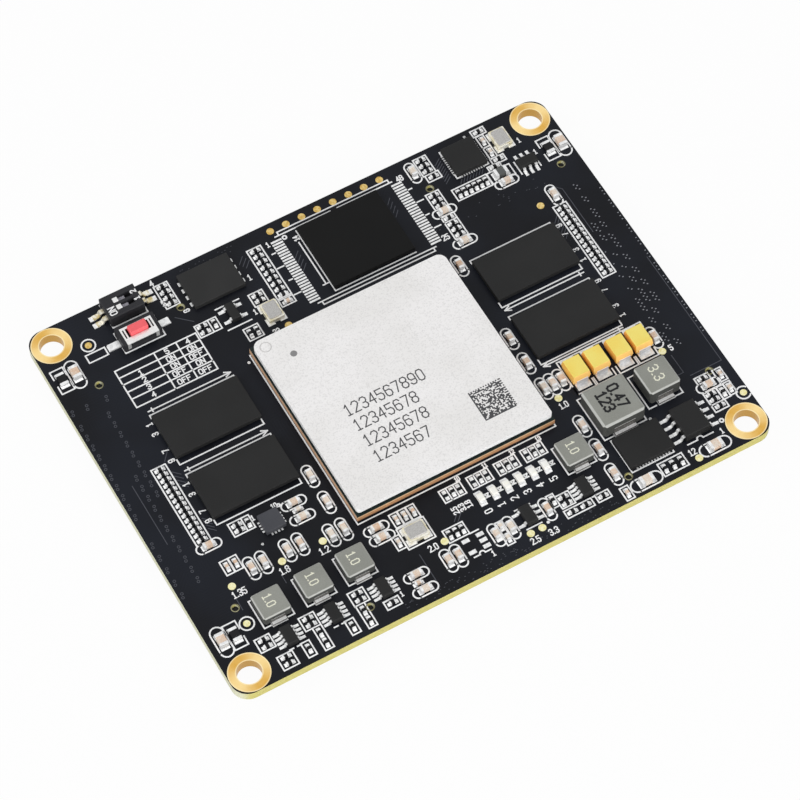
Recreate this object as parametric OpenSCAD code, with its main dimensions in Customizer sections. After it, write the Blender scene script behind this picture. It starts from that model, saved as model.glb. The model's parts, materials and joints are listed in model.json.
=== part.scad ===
// System on module: a black circuit board that carries a lidded processor, its memory and its power
// parts on top, and four board-to-board connectors below.
// Millimetres, +Z up. The origin is under the middle of the board, z = 0 at the connectors' mating ends.

/* [Board] */
// Length of the board along x, mm
board_l = 83.5; // [83:0.5:100]
// Width of the board along y, mm
board_w = 64.75; // [64.25:0.25:80]
// Thickness of the laminate, mm
board_t = 1.6; // [1.2:0.1:2.4]
// Radius of the board's corners, mm
corner_r = 2.5; // [0.5:0.1:3]
// Distance from the board's edges to the mounting holes, mm
hole_inset = 3; // [2.6:0.1:3.6]
// Clear diameter of the mounting holes, mm
hole_d = 3.5; // [2.2:0.1:4]
// Thickness of the tinned and gold lands, mm
land_t = 0.05; // [0.03:0.01:0.1]
// Diameter of the gold test pads, mm
test_pad_d = 1.1; // [0.8:0.05:1.2]

/* [Connectors] */
// Height from the mating end to the board, mm
connector_h = 3.2; // [2.6:0.1:8]
// Length of a connector's housing, mm
connector_l = 43.6; // [43:0.2:45]
// Width of a connector's housing, mm
connector_w = 5.6; // [5:0.1:6.4]
// Distance between the left and right connectors, mm
connector_span_x = 74.5; // [73:0.25:75.5]
// Distance between the upper and lower connectors, mm
connector_span_y = 54.85; // [53.85:0.25:55.85]
// Distance between the two pegs of a connector, mm
peg_span = 40.3; // [39.8:0.1:40.8]
// Diameter of the pegs, mm
peg_d = 0.85; // [0.6:0.05:1.1]
// Contacts in one row of a bank
contacts_per_row = 19; // [8:1:19]
// Distance from contact to contact, mm
contact_pitch = 0.8; // [0.6:0.05:0.85]

/* [Processor] */
// Side of the processor's substrate, mm
soc_l = 31; // [29:0.5:32.5]
// Thickness of the substrate, mm
soc_t = 1.3; // [0.8:0.1:1.8]
// Width of the green ledge left around the lid, mm
soc_ledge = 0.2; // [0.1:0.05:1]
// Thickness of the lid's plate, mm
lid_t = 0.85; // [0.4:0.05:1.5]
// Height of the lid's foot, which is also the height of the die, mm
lid_foot_h = 0.4; // [0.3:0.05:1.2]
// Radius of the lid's two far corners, mm
lid_corner_r = 1.3; // [0.5:0.1:2.5]
// Radius of the lid's two near corners, mm
lid_front_r = 0.5; // [0.3:0.1:2.5]
// Distance from ball to ball under the processor, mm
soc_pitch = 1; // [0.8:0.1:1.27]
// Height of the soldered balls under the processor, mm
soc_ball_h = 0.45; // [0.3:0.05:0.6]

/* [Memory] */
// Length of a memory chip, mm
mem_l = 13.3; // [12:0.1:13.8]
// Width of a memory chip, mm
mem_w = 7.5; // [7:0.1:9]
// Thickness of a memory chip without its balls, mm
mem_t = 0.8; // [0.5:0.05:1.2]
// Height of the soldered balls under memory and storage, mm
mem_ball_h = 0.3; // [0.15:0.05:0.45]
// Distance of the memory chips from the board's middle, mm
mem_x = 25.5; // [25.3:0.1:26]
// Distance from the upper to the lower memory chip, mm
mem_step = 10.9; // [10:0.1:11.5]
// Length of the storage chip, mm
storage_l = 13; // [11:0.5:14]
// Width of the storage chip, mm
storage_w = 11.5; // [9:0.5:12]
// Length of the boot flash, mm
flash_l = 8; // [6:0.1:8.4]
// Width of the boot flash, mm
flash_w = 6; // [5:0.1:6.4]

/* [Power parts] */
// Side of the four small chokes, mm
choke_l = 4.2; // [3.6:0.1:4.4]
// Height of the four small chokes, mm
choke_h = 1.8; // [1.2:0.1:2.4]
// Side of the core supply's choke, mm
core_choke_l = 6.7; // [6:0.1:7]
// Height of the core supply's choke, mm
core_choke_h = 2.9; // [2:0.1:4]
// Side of the input choke, mm
input_choke_l = 4.9; // [4.2:0.1:5.2]
// Height of the input choke, mm
input_choke_h = 2.8; // [2:0.1:4]
// Width of a tantalum capacitor, mm
tantalum_w = 2.8; // [2.4:0.1:3.1]
// Length of a tantalum capacitor, mm
tantalum_l = 3.5; // [3:0.1:3.8]
// Height of a tantalum capacitor, mm
tantalum_h = 1.9; // [1.2:0.1:2.8]

/* [Chip parts] */
// Length of the smallest resistors and capacitors, mm
small_l = 1; // [0.8:0.05:1.1]
// Width of the smallest resistors and capacitors, mm
small_w = 0.5; // [0.4:0.05:0.6]
// Length of the middle-size capacitors, mm
middle_l = 1.6; // [1.4:0.1:1.8]
// Width and height of the middle-size capacitors, mm
middle_w = 0.8; // [0.6:0.05:0.95]
// Length of the largest capacitors and resistors, mm
large_l = 2; // [1.8:0.1:2.2]
// Width of the largest capacitors and resistors, mm
large_w = 1.25; // [1:0.05:1.4]
// Length of the LEDs, mm
led_l = 1.8; // [1.5:0.05:2.1]
// Width of the LEDs, mm
led_w = 0.95; // [0.7:0.05:1.3]
// Height of the LEDs with their lens, mm
led_h = 0.7; // [0.5:0.05:1.2]
// Height of the oscillators with their lid, mm
oscillator_h = 0.95; // [0.7:0.05:1.4]

/* [Switches] */
// Length of the slide switch's housing, mm
dip_l = 5.4; // [5.2:0.1:6]
// Width of the slide switch's housing, mm
dip_w = 3.9; // [3.4:0.1:4]
// Height of the slide switch's housing, mm
dip_h = 2.1; // [1.9:0.1:3]
// Travel of a slider, mm
dip_travel = 0.9; // [0.4:0.05:1]
// Length of the reset switch's base, mm
reset_l = 6; // [5.4:0.1:6.4]
// Width of the reset switch over its cover, mm
reset_w = 3.6; // [3.2:0.1:4]
// Height of the reset switch's base, mm
reset_base_h = 1.6; // [1.5:0.05:2.2]
// Height of the red button above the cover, mm
button_rise = 0.75; // [0.4:0.05:1.5]
// Travel of the red button, mm
button_travel = 0.25; // [0.1:0.05:0.25]

/* [Hidden] */
$fn = 48;
EPS = 0.5;             // overlap of a cutter beyond the face it cuts
FIT = 0.03;            // clearance around a part that slides
bottom_z = connector_h;            // underside of the board
top_z = bottom_z + board_t;        // top face of the board, where the parts stand
plating_t = 0.1;                   // wall of a plated mounting hole
ring_r = hole_inset - 0.05;        // gold land, just inside the board's edges
hole_x = board_l / 2 - hole_inset;
hole_y = board_w / 2 - hole_inset;
hole_places = [for (x = [-hole_x, hole_x], y = [-hole_y, hole_y]) [x, y]];

// The places below are those on a board of 83.5 by 64.75. Towards the long edges they spread with its
// length, beside the processor they keep to it, and in the corners they keep their distance from the holes.
stretch = board_l / 83.5;
shift_y = (board_w - 64.75) / 2;
function along(p) = abs(p[1]) > soc_l / 2 + 1.5 ? p[0] * stretch : p[0];
function across(p) = abs(p[0]) > hole_x - 3.5 ? p[1] + sign(p[1]) * shift_y : p[1];

// Connector: two banks, each a slot with a row of contacts along both walls and a blade in the middle
tail_t = 0.2;
contact_t = 0.2;
contact_w = 0.3;
slot_w = connector_w - 3;
slot_d = connector_h - 0.8;
bank_l = 16;
bank_pitch = 20;
blade_l = bank_l - 2;
blade_z = 0.8;                     // depth of the blade behind the mating end
contact_z = 0.5;                   // the same of a contact
tail_l = 0.5;                      // length of a solder tail outside the housing
peg_shift = 1.38;                  // the pegs stand off the connector's middle line
peg_hole_d = peg_d + 0.1;
peg_h = board_t - 0.4;
foot_l = 3.5;
foot_end = max(connector_l / 2, peg_span / 2 + peg_d);   // the end feet reach past the pegs
end_foot_l = foot_end - connector_l / 2 + foot_l;
connectors = [[-connector_span_x / 2, 0.2, 90], [connector_span_x / 2, 0.2, 90],
              [0.05, connector_span_y / 2, 0], [0.05, -connector_span_y / 2, 0]];

// Processor stack
soc = [0.1, -1.3];
lid_l = soc_l - 2 * soc_ledge;
lid_z = soc_ball_h + soc_t;
lid_foot_w = 1.8;
lid_setback = 0.6;
die = [14, 12];
soc_balls = floor((soc_l - 1) / soc_pitch);
soc_rings = 2;                     // rows of balls that can be seen from the side
soc_left = soc[0] - soc_l / 2;
soc_right = soc[0] + soc_l / 2;
soc_front = soc[1] - soc_l / 2;

// Memory chips: two blocks of three ball columns
mem_y = 2.45;
mem_places = [for (x = [-mem_x, mem_x], y = [mem_y + mem_step / 2, mem_y - mem_step / 2]) [x, y]];
mem_ball_pitch = 0.8;
storage = [6.6, 23.45];
storage_t = 0.7;
storage_ball_pitch = 0.5;
storage_balls = floor((storage_w - 4.5) / storage_ball_pitch);

// Leadless chips: [x, y, length, width, height, lands along x, lands along y, pitch]
flash = [-14.45, 27.55, flash_l, flash_w, 0.75, 0, 4, 1.27];
interface = [27.05, 28.2, 5, 5, 0.85, 10, 10, 0.4];
clock = [-25.4, -10.85, 3, 3, 0.8, 4, 4, 0.5];
power_stage = [24.45, -25.65, 7, 5.2, 0.9, 12, 0, 0.46];
leadless = [flash, interface, clock, power_stage];
reach_out = 0.3;                   // how far a land shows beside its chip
reach_in = 0.4;                    // how far a land runs under its chip

// Leaded chips: [x, y, turn, body across the leads, body along them, height, lead tip, lead width]
load_switch = [31.8, -25.7, 0, 3.9, 4.9, 1.5, 3, 0.42];
linear_regulator = [5.15, -27.4, 0, 1.6, 2.9, 1, 1.4, 0.4];
supervisor = [-14.25, 21.4, 0, 1.3, 2.9, 1, 1.25, 0.45];
surge_protector = [34.45, 22.9, 90, 1.6, 2.9, 1, 1.4, 0.4];
buck = [0, 0, 0, 1.6, 2.9, 0.95, 1.4, 0.35];
buck_places = [[-31.65, -27.35], [-24.9, -27.35], [-17.25, -27.35], [13.95, -27.35]];
bucks = [for (p = buck_places) concat(p, [for (i = [2:7]) buck[i]])];
soic_rows = [-1.905, -0.635, 0.635, 1.905];
buck_rows = [-0.975, -0.325, 0.325, 0.975];
lead_t = 0.15;
lead_pitch = 0.95;
both = [-lead_pitch, lead_pitch];
three = [-lead_pitch, 0, lead_pitch];

// Chokes and tantalum capacitors
choke_places = [[-31.65, -22.35], [-25.15, -22.35], [-18.85, -22.35], [15.4, -22.25]];
core_choke = [23.65, -18.8];
input_choke = [31.05, -18.25];
choke_tab = 0.45;                  // length of a terminal outside the body
choke_foot = 1.4;                  // whole length of its foot
choke_tab_t = 0.3;
clip_t = 0.15;                     // a terminal is folded up into a notch in the end face
clip_share = 0.5;                  // share of the choke's height that it climbs
function clip_w(l) = l * 0.5;
tantalum_places = [[22.4, -11.05], [25.65, -11.05], [29.25, -11.05], [32.5, -11.05]];
tantalum_tab_t = 0.12;
tantalum_tab_w = 1.8;
tantalum_fold = 0.8;               // length of a terminal under the body
end_draft = 0.2;                   // the mould's draft on the end faces and on the sides
side_draft = 0.12;

// Two-ended chips: [length, width, height, length of an end cap]
small_resistor = [small_l, small_w, 0.35, 0.25];
small_capacitor = [small_l, small_w, small_w, 0.25];
middle_capacitor = [middle_l, middle_w, middle_w, 0.35];
large_capacitor = [large_l, large_w, 0.95, 0.45];
large_resistor = [large_l, large_w, 0.55, 0.4];
bead = [large_l, large_w, 0.9, 0.45];
led = [led_l, led_w, led_h * 0.45, 0.35];

// The capacitors next to the processor stand between it and its neighbours
function between(a, b, share) = a + (b - a) * share;
east_x = between(soc_right, mem_x - mem_l / 2, 0.52);
west_x = between(soc_left, mem_l / 2 - mem_x, 0.59);
tantalum_left = tantalum_places[0][0] - tantalum_w / 2;
front_x = [for (share = [0.315, 0.574, 0.833]) between(soc_right, tantalum_left, share)];
trio_y = between(soc_front, -20.55, 0.573);
pair_y = [between(soc_front, -20.05, 0.615), -20.45];

// Places of the two-ended chips on the board: [x, y, turn]
resistor_places = concat(
    [for (i = [0:14]) [34.85, 13.6 - 0.89 * i, 0]],
    [for (i = [0:14]) [-34.85, 3.95 - 0.895 * i, 0]],
    [for (i = [0:8]) [-6.6, 29.1 - 1.05 * i, 0]],
    [for (i = [0:3]) [-20.85, 30.4 - 1.05 * i, 0]],
    [for (i = [0:2]) [21.4, 30.95 - 1.05 * i, 0]],
    [for (i = [0:2]) [20.05, 24.7 - i, 0]],
    [for (i = [0:3]) [20.05, 20.3 - 1.08 * i, 0]],
    [for (i = [0:5]) [23.35 + 0.89 * i, 23.1, 90]],
    [for (x = [-1.85, 2.45, 6.75, 10.95]) [x, -19, 90]],
    [for (x = [25.1, 26.4, 27.7]) [x, -30.3, 90]],
    [for (x = [-28.2, -20.7], y = [-26.2, -27.25]) [x, y, 0]],
    [for (x = [-27.8, -21.15], y = [-28.9, -30.6]) [x, y, 90]],
    [[-9.9, 22.4, 0], [-9.9, 21.4, 0], [-19, 21.7, 0], [-19, 20.6, 0], [-17.25, 21.2, 90],
     [21.7, 27.6, 0], [31.1, 31.15, 0], [31.3, 25.6, 0], [30.1, 24.65, 0], [-13.7, 17.2, 90],
     [-12.6, 17.2, 90], [-29.75, -8.9, 0], [-29.75, -9.8, 0], [-28.2, -9.35, 90],
     [-34.85, -26.1, 0], [-34.85, -27.2, 0], [-33.45, -29.8, 0], [-33.45, -30.9, 0],
     [-30.2, -30.25, 90], [-23.55, -30.25, 90], [-17.2, -29.8, 0], [15.6, -29.75, 0],
     [10.8, -27.2, 0], [10.8, -28.3, 0], [10.75, -29.8, 0], [12.85, -29.8, 0], [9.3, -26.95, 90],
     [-5.5, -24.65, 90], [-4.5, -24.65, 90], [-3.55, -24.65, 90], [37.1, -20.6, 0],
     [36.8, -23.3, 0], [36.8, -24.3, 0], [36.95, -25.5, 0], [38.45, -23.85, 90]]);
small_capacitor_places = [[-6.6, 19.35, 0], [30.85, 29.4, 90], [30.85, 27.15, 90], [-21.4, -10.95, 0],
     [-33.9, -13.95, 90], [-32.6, -13.95, 90], [-10.6, trio_y, 90], [-9.3, trio_y, 90], [-8, trio_y, 90],
     [-12.05, -22.2, 90], [1.15, -26.9, 90], [1.15, -28.9, 90], [-12.8, -29, 0], [18.65, -31, 90],
     [39.6, -21.2, 90], [39.6, -23.7, 90]];
middle_capacitor_places = concat(
    [for (p = [[19.4, 29.6], [35, 16.2], [east_x, 12.4], [east_x, -1.65], [east_x, -6.25], [west_x, -7.15],
               [west_x, -11.85], [-31.1, -15.75], [-29.25, -15.75], [-25.6, -15.75], [-23.65, -15.75],
               [-19.35, -16.65], [west_x, -16.65], [-7.55, -27.95], [-6, -27.95], [0, -27.75],
               [2.3, -27.75], [8, -27.75], [front_x[0], -11], [front_x[1], -11], [front_x[2], -11],
               [18.8, -18.85],
               [18.8, -23.15], [18.65, -27.55], [34.8, -11.5]]) [p[0], p[1], 90]],
    [for (p = [[20.05, 21.55], [20.05, 15.65], [30.35, 21.55], [-34.5, -9.85], [-21.4, -9.7],
               [-21.4, -12.25], [-13.6, pair_y[0]], [-13.6, pair_y[1]], [-12.4, -27.7], [-12.4, -30.25],
               [37.3, -21.9]]) [p[0], p[1], 0]]);
large_capacitor_places = [[-37.95, 23.5, 90], [40.45, 23.6, 90], [-39.8, -23.6, 90],
                          [21.9, -30.75, 0], [32.95, -30.65, 0]];
large_resistor_places = [[-40, 23.5, 90], [38.4, 23.6, 90], [-37.8, -23.6, 90]];
bead_places = [[30.25, 23.15, 0]];
led_places = [for (i = [0:5]) [0.95 + 2.04 * i, -21.8, 90]];
oscillator_places = [[-9.4, 18.75, 90], [33.2, 28.3, 90], [-9.3, -22.05, 0]];
oscillator = [3.2, 2.5, oscillator_h - 0.2];

// Empty footprints: selector bridges beside the fitted ones, a wide storage footprint, a five-lead one
bridge_places = [for (x = [-1.85, 2.45, 6.75, 10.95], s = [-1.05, 1.05]) [x + s, -19, 90]];
wide_land = [1.68, 0.3];
wide_x = [-3.2, 16.4];
wide_y = 23.35;
spare_lands = [[-4.1, -26.5], [-4.1, -28.45], [-1.9, -26.5], [-1.9, -27.5], [-1.9, -28.5]];

// Gold pads: the header row, single test points and fiducials
test_places = concat([for (i = [0:7]) [-3.15 + 2.54 * i, 31]],
    [[32.4, 15.55], [-34.7, -16.85], [-27.05, -16.85], [-20.8, -16.85], [-6.55, -25.1], [4.15, -29.85],
     [5.95, -29.85], [18.25, -13.35], [34.65, -14], [30.05, -31.15], [-8.35, 15.8]]);
fiducial_places = [[-34.25, 26.85], [-35.6, -22.8], [40.85, -25.3]];
fiducial_d = 1;

// Slide switch: each slider has a flange in a channel under its slot
dip = [-27.3, 29.85];
dip_pitch = 1.27;
dip_rows = [-dip_pitch / 2, dip_pitch / 2];
dip_slot_w = 0.85;
slider_l = 1.85;
dip_slot_l = slider_l + dip_travel + 2 * FIT;
dip_slot_x = 0.3;
channel_h = 0.4;
channel_z = dip_h - 1.15;
channel_lip = 0.15;
slider_x = dip_slot_x - dip_slot_l / 2 + FIT + slider_l / 2;
knob_l = 0.75;
dip_lead = [0, 0, 0, dip_l, dip_w, 1.4, dip_l / 2 + 1.7, 0.75];

// Reset switch: a cover plate clipped over a base, with the button's flange held below the plate
reset = [-27.3, 24.9];
cover_t = 0.15;
cover_l = 4.9;
cover_clip = 0.5;                  // two clips outside the base and two legs in slots hold the plate
button = [2.75, 1.4];
button_flange = 0.3;
flange_h = 0.35;
window = [button[0] + 0.7, button[1] + 0.12];
cover_far = window[1] / 2 + 0.35;   // the plate ends just behind the button
well = [window[0] + 0.1, button[1] + 2 * button_flange + 0.2];
well_z = 0.45;
dome_h = 0.3;
flange_z = reset_base_h - FIT - flange_h;
nub_z = well_z + dome_h + button_travel + FIT;   // the button meets the dome at the end of its travel
reset_tab = [1.75, 1.1, 0.2];

// A box that stands on z = 0, centred in x and y
module box(l, w, h) translate([-l / 2, -w / 2, 0]) cube([l, w, h]);

// Puts its children at each place [x, y, turn] of a list, on the board's top face
module at(places) for (p = places)
    translate([along(p), across(p), top_z]) rotate(len(p) > 2 ? p[2] : 0) children();

// Outline of a rectangle with cut corners, and a face with both upper corners bevelled
function cut_corners(l, w, c) = [[c - l / 2, -w / 2], [l / 2 - c, -w / 2], [l / 2, c - w / 2],
    [l / 2, w / 2 - c], [l / 2 - c, w / 2], [c - l / 2, w / 2], [-l / 2, w / 2 - c], [-l / 2, c - w / 2]];
function bevelled(l, h, b) = [[-l / 2, 0], [l / 2, 0], [l / 2, h - b], [l / 2 - b, h], [b - l / 2, h],
    [-l / 2, h - b]];

// A moulded block: cut upright corners and a bevel all round the top face
module block(l, w, h, cut, bevel) intersection() {
    linear_extrude(h) polygon(cut_corners(l, w, cut));
    rotate([90, 0, 0]) linear_extrude(2 * w, center = true) polygon(bevelled(l, h, bevel));
    rotate([90, 0, 90]) linear_extrude(2 * l, center = true) polygon(bevelled(w, h, bevel));
}

// A block from a two-part mould: it is widest at half its height
function draft_face(l, h, d) = [[d - l / 2, 0], [l / 2 - d, 0], [l / 2, h / 2], [l / 2 - d, h],
    [d - l / 2, h], [-l / 2, h / 2]];
module drafted(l, w, h, side, end) intersection() {
    rotate([90, 0, 0]) linear_extrude(2 * w, center = true) polygon(draft_face(l, h, side));
    rotate([90, 0, 90]) linear_extrude(2 * l, center = true) polygon(draft_face(w, h, end));
}

// Flat rectangle with round corners
module round_rect(l, w, r) {
    square([l - 2 * r, w], center = true);
    square([l, w - 2 * r], center = true);
    for (x = [-1, 1], y = [-1, 1]) translate([x * (l / 2 - r), y * (w / 2 - r)]) circle(r);
}

// A profile drawn in y and z, as wide as w along x
module profile_x(w, points) rotate([90, 0, 90]) linear_extrude(w, center = true) polygon(points);

// One gull-wing lead of a leaded chip c, on the side s, at y; the body's side is at c[3] / 2
module lead(c, s, y, w) {
    b = c[3] / 2;
    exit_z = land_t + c[5] * 0.55;
    knee = b + (c[6] - b) * 0.35;
    heel = b + (c[6] - b) * 0.5;
    foot_z = land_t + lead_t;
    rotate(s > 0 ? 0 : 180) translate([0, s * y, 0]) rotate([90, 0, 0])
        linear_extrude(w, center = true) polygon([[b, exit_z], [knee, exit_z], [heel + lead_t / 2, foot_z],
            [c[6], foot_z], [c[6], land_t], [heel - lead_t / 2, land_t], [knee - lead_t, exit_z - lead_t],
            [b, exit_z - lead_t]]);
}

// All the leads of a chip: the rows on the right side, then those on the left
module leads(c, right, left) at([c]) {
    for (y = right) lead(c, 1, y, c[7]);
    for (y = left) lead(c, -1, y, c[7]);
}

// Lands under the leads of a chip, reaching a little past the tips
module lead_lands(c, right, left) for (s = [1, -1], y = s > 0 ? right : left)
    translate([s * (c[6] + 0.05), y, 0]) box(1, c[7] + 0.05, land_t);

// Lands of a two-ended chip, its end caps and the body between them
module end_lands(c) for (s = [-1, 1])
    translate([s * (c[0] / 2 + 0.3 - (c[3] + 0.3) / 2), 0, 0]) box(c[3] + 0.3, c[1] + 0.06, land_t);
module end_caps(c) for (s = [-1, 1])
    translate([s * (c[0] - c[3]) / 2, 0, land_t]) box(c[3], c[1], c[2]);
module end_body(c, inset) translate([0, 0, land_t]) box(c[0] - 2 * c[3], c[1] - inset, c[2] - inset / 2);

// Lands of a leadless chip, on all sides that have any
module leadless_lands(c) {
    reach = reach_in + reach_out;
    for (s = [-1, 1], i = [0 : 1 : c[5] - 1]) translate([(i - (c[5] - 1) / 2) * c[7],
        s * (c[3] / 2 + reach_out - reach / 2), 0]) box(c[7] * 0.52, reach, land_t);
    for (s = [-1, 1], i = [0 : 1 : c[6] - 1]) translate([s * (c[2] / 2 + reach_out - reach / 2),
        (i - (c[6] - 1) / 2) * c[7], 0]) box(reach, c[7] * 0.52, land_t);
}
module leadless_body(c) at([[c[0], c[1]]]) translate([0, 0, land_t]) block(c[2], c[3], c[4], 0.05, 0.06);
module leaded_body(c) at([c]) translate([0, 0, land_t + 0.05]) block(c[3], c[4], c[5] - 0.05, 0.05, 0.15);

// A grid of soldered balls, n by m, with only the outer rings filled
module balls(n, m, pitch, h, rings) for (i = [0 : n - 1], j = [0 : m - 1])
    if (min(i, j, n - 1 - i, m - 1 - j) < rings)
        translate([(i - (n - 1) / 2) * pitch, (j - (m - 1) / 2) * pitch, 0])
            cylinder(h = h, d = pitch * 0.55);

// Laminate, with the plated mounting holes and the connectors' peg holes open
module circuit_board() color("#15171b") translate([0, 0, bottom_z]) linear_extrude(board_t) difference() {
    round_rect(board_l, board_w, corner_r);
    for (p = hole_places) translate(p) circle(hole_d / 2 + plating_t);
    for (c = connectors) translate([c[0], c[1]]) rotate(c[2]) for (s = [-1, 1])
        translate([s * peg_span / 2, -peg_shift]) circle(peg_hole_d / 2);
}

// Plated wall of each mounting hole and its gold land on both faces
module hole_plating() color("#e2bd62") for (p = hole_places) translate([p[0], p[1], bottom_z])
    rotate_extrude() polygon([[hole_d / 2, -land_t], [ring_r, -land_t], [ring_r, 0],
        [hole_d / 2 + plating_t, 0],
        [hole_d / 2 + plating_t, board_t], [ring_r, board_t], [ring_r, board_t + land_t],
        [hole_d / 2, board_t + land_t]]);

module gold_pads() color("#ecd9a0") {
    at(test_places) cylinder(h = land_t, d = test_pad_d);
    at(fiducial_places) cylinder(h = land_t, d = fiducial_d);
}

// Tinned lands: those the parts stand on and those of the empty footprints
module solder_lands() color("#d8d9d6") {
    at(concat(resistor_places, bridge_places)) end_lands(small_resistor);
    at(small_capacitor_places) end_lands(small_capacitor);
    at(middle_capacitor_places) end_lands(middle_capacitor);
    at(large_capacitor_places) end_lands(large_capacitor);
    at(large_resistor_places) end_lands(large_resistor);
    at(bead_places) end_lands(bead);
    at(led_places) end_lands(led);
    for (c = leadless) at([[c[0], c[1]]]) leadless_lands(c);
    at([load_switch]) lead_lands(load_switch, soic_rows, soic_rows);
    at(buck_places) lead_lands(buck, buck_rows, buck_rows);
    at([linear_regulator]) lead_lands(linear_regulator, three, both);
    at([supervisor]) lead_lands(supervisor, both, both);
    at([surge_protector]) lead_lands(surge_protector, three, three);
    at([dip]) lead_lands(dip_lead, dip_rows, dip_rows);
    at([reset]) for (s = [-1, 1]) translate([s * (reset_l + reset_tab[0]) / 2, 0, 0])
        box(reset_tab[0] + 0.2, reset_tab[1], land_t);
    at(oscillator_places) for (x = [-1, 1], y = [-1, 1]) translate([x * 1.2, y * 0.95, 0])
        box(1.3, 1.1, land_t);
    at(choke_places) choke_lands(choke_l);
    at([core_choke]) choke_lands(core_choke_l);
    at([input_choke]) choke_lands(input_choke_l);
    at(tantalum_places) for (s = [-1, 1]) translate([0, s * (tantalum_l / 2 + 0.2), 0])
        box(tantalum_tab_w + 0.4, 1.6, land_t);
    for (x = wide_x, i = [0:23]) at([[x, wide_y + (i - 11.5) * 0.5]])
        box(wide_land[0], wide_land[1], land_t);
    at(spare_lands) box(1.1, 0.6, land_t);
}
module choke_lands(l) for (s = [-1, 1]) translate([0, s * l / 2, 0])
    box(l * 0.55, 2 * choke_tab + 0.3, land_t);

// Processor: balls, substrate, die and a lid with a foot all round that is set back under its edge
module processor_balls() color("#c9cbcd") at([soc])
    balls(soc_balls, soc_balls, soc_pitch, soc_ball_h, soc_rings);
module processor_substrate() color("#9a6a45") at([soc]) translate([0, 0, soc_ball_h])
    box(soc_l, soc_l, soc_t);
module processor_die() color("#5b6068") at([soc]) translate([0, 0, lid_z]) box(die[0], die[1], lid_foot_h);
module lid_outline() {
    translate([0, (lid_front_r - lid_corner_r) / 2])
        square([lid_l, lid_l - lid_front_r - lid_corner_r], center = true);
    for (end = [[1, lid_corner_r], [-1, lid_front_r]]) translate([0, end[0] * (lid_l / 2 - end[1])]) {
        square([lid_l - 2 * end[1], 2 * end[1]], center = true);
        for (x = [-1, 1]) translate([x * (lid_l / 2 - end[1]), 0]) circle(end[1]);
    }
}
module processor_lid() color("#e3e1e0") at([soc]) translate([0, 0, lid_z]) {
    translate([0, 0, lid_foot_h]) linear_extrude(lid_t) lid_outline();
    linear_extrude(lid_foot_h) difference() {
        square(lid_l - 2 * lid_setback, center = true);
        square(lid_l - 2 * lid_setback - 2 * lid_foot_w, center = true);
    }
}

module memory_chip(i) color("#2d2d2e") at([mem_places[i]]) translate([0, 0, mem_ball_h])
    block(mem_l, mem_w, mem_t, 0.05, 0.05);
module memory_chip_1() memory_chip(0);
module memory_chip_2() memory_chip(1);
module memory_chip_3() memory_chip(2);
module memory_chip_4() memory_chip(3);
module memory_balls() color("#c9cbcd") at(mem_places) for (s = [-1, 1])
    translate([0, s * 3 * mem_ball_pitch, 0]) balls(15, 3, mem_ball_pitch, mem_ball_h, 2);
module storage_chip() color("#1f1f20") at([storage]) translate([0, 0, mem_ball_h])
    block(storage_l, storage_w, storage_t, 0.05, 0.05);
module storage_balls() color("#c9cbcd") at([storage])
    balls(storage_balls, storage_balls, storage_ball_pitch, mem_ball_h, 2);

module boot_flash() color("#38383a") leadless_body(flash);
module interface_chip() color("#2a2a2b") leadless_body(interface);
module clock_chip() color("#4a4a4e") leadless_body(clock);
module power_stage_chip() color("#1f1f20") leadless_body(power_stage);
module load_switch_chip() color("#29292a") leaded_body(load_switch);
module buck_regulators() color("#303032") for (c = bucks) leaded_body(c);
module supervisor_chip() color("#2b2b2c") leaded_body(supervisor);
module linear_regulator_chip() color("#2f2f31") leaded_body(linear_regulator);
module surge_protector_chip() color("#2b2b2c") leaded_body(surge_protector);
module chip_leads() color("#d4d6d8") {
    leads(load_switch, soic_rows, soic_rows);
    for (c = bucks) leads(c, buck_rows, buck_rows);
    leads(linear_regulator, three, both);
    leads(supervisor, both, both);
    leads(surge_protector, three, three);
}

// Chokes: moulded blocks that stand on a terminal at each end, folded up into a notch of the end face
module choke(p, l, h) color("#8f908a") at([p]) translate([0, 0, land_t + choke_tab_t]) difference() {
    block(l, l, h - choke_tab_t, l * 0.06, l * 0.045);
    for (s = [-1, 1]) translate([0, s * l / 2, -EPS])
        box(clip_w(l), 2 * clip_t, h * clip_share - choke_tab_t + EPS);
}
module choke_1() choke(choke_places[0], choke_l, choke_h);
module choke_2() choke(choke_places[1], choke_l, choke_h);
module choke_3() choke(choke_places[2], choke_l, choke_h);
module choke_4() choke(choke_places[3], choke_l, choke_h);
module core_supply_choke() choke(core_choke, core_choke_l, core_choke_h);
module input_supply_choke() choke(input_choke, input_choke_l, input_choke_h);
module choke_tabs(l, h) for (turn = [0, 180]) rotate(turn) translate([0, l / 2, land_t])
    profile_x(clip_w(l), [[choke_tab - choke_foot, 0], [choke_tab, 0], [choke_tab, choke_tab_t],
        [0, choke_tab_t], [0, h * clip_share], [-clip_t, h * clip_share], [-clip_t, choke_tab_t],
        [choke_tab - choke_foot, choke_tab_t]]);
module choke_terminals() color("#cfd0d0") {
    at(choke_places) choke_tabs(choke_l, choke_h);
    at([core_choke]) choke_tabs(core_choke_l, core_choke_h);
    at([input_choke]) choke_tabs(input_choke_l, input_choke_h);
}

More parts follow.
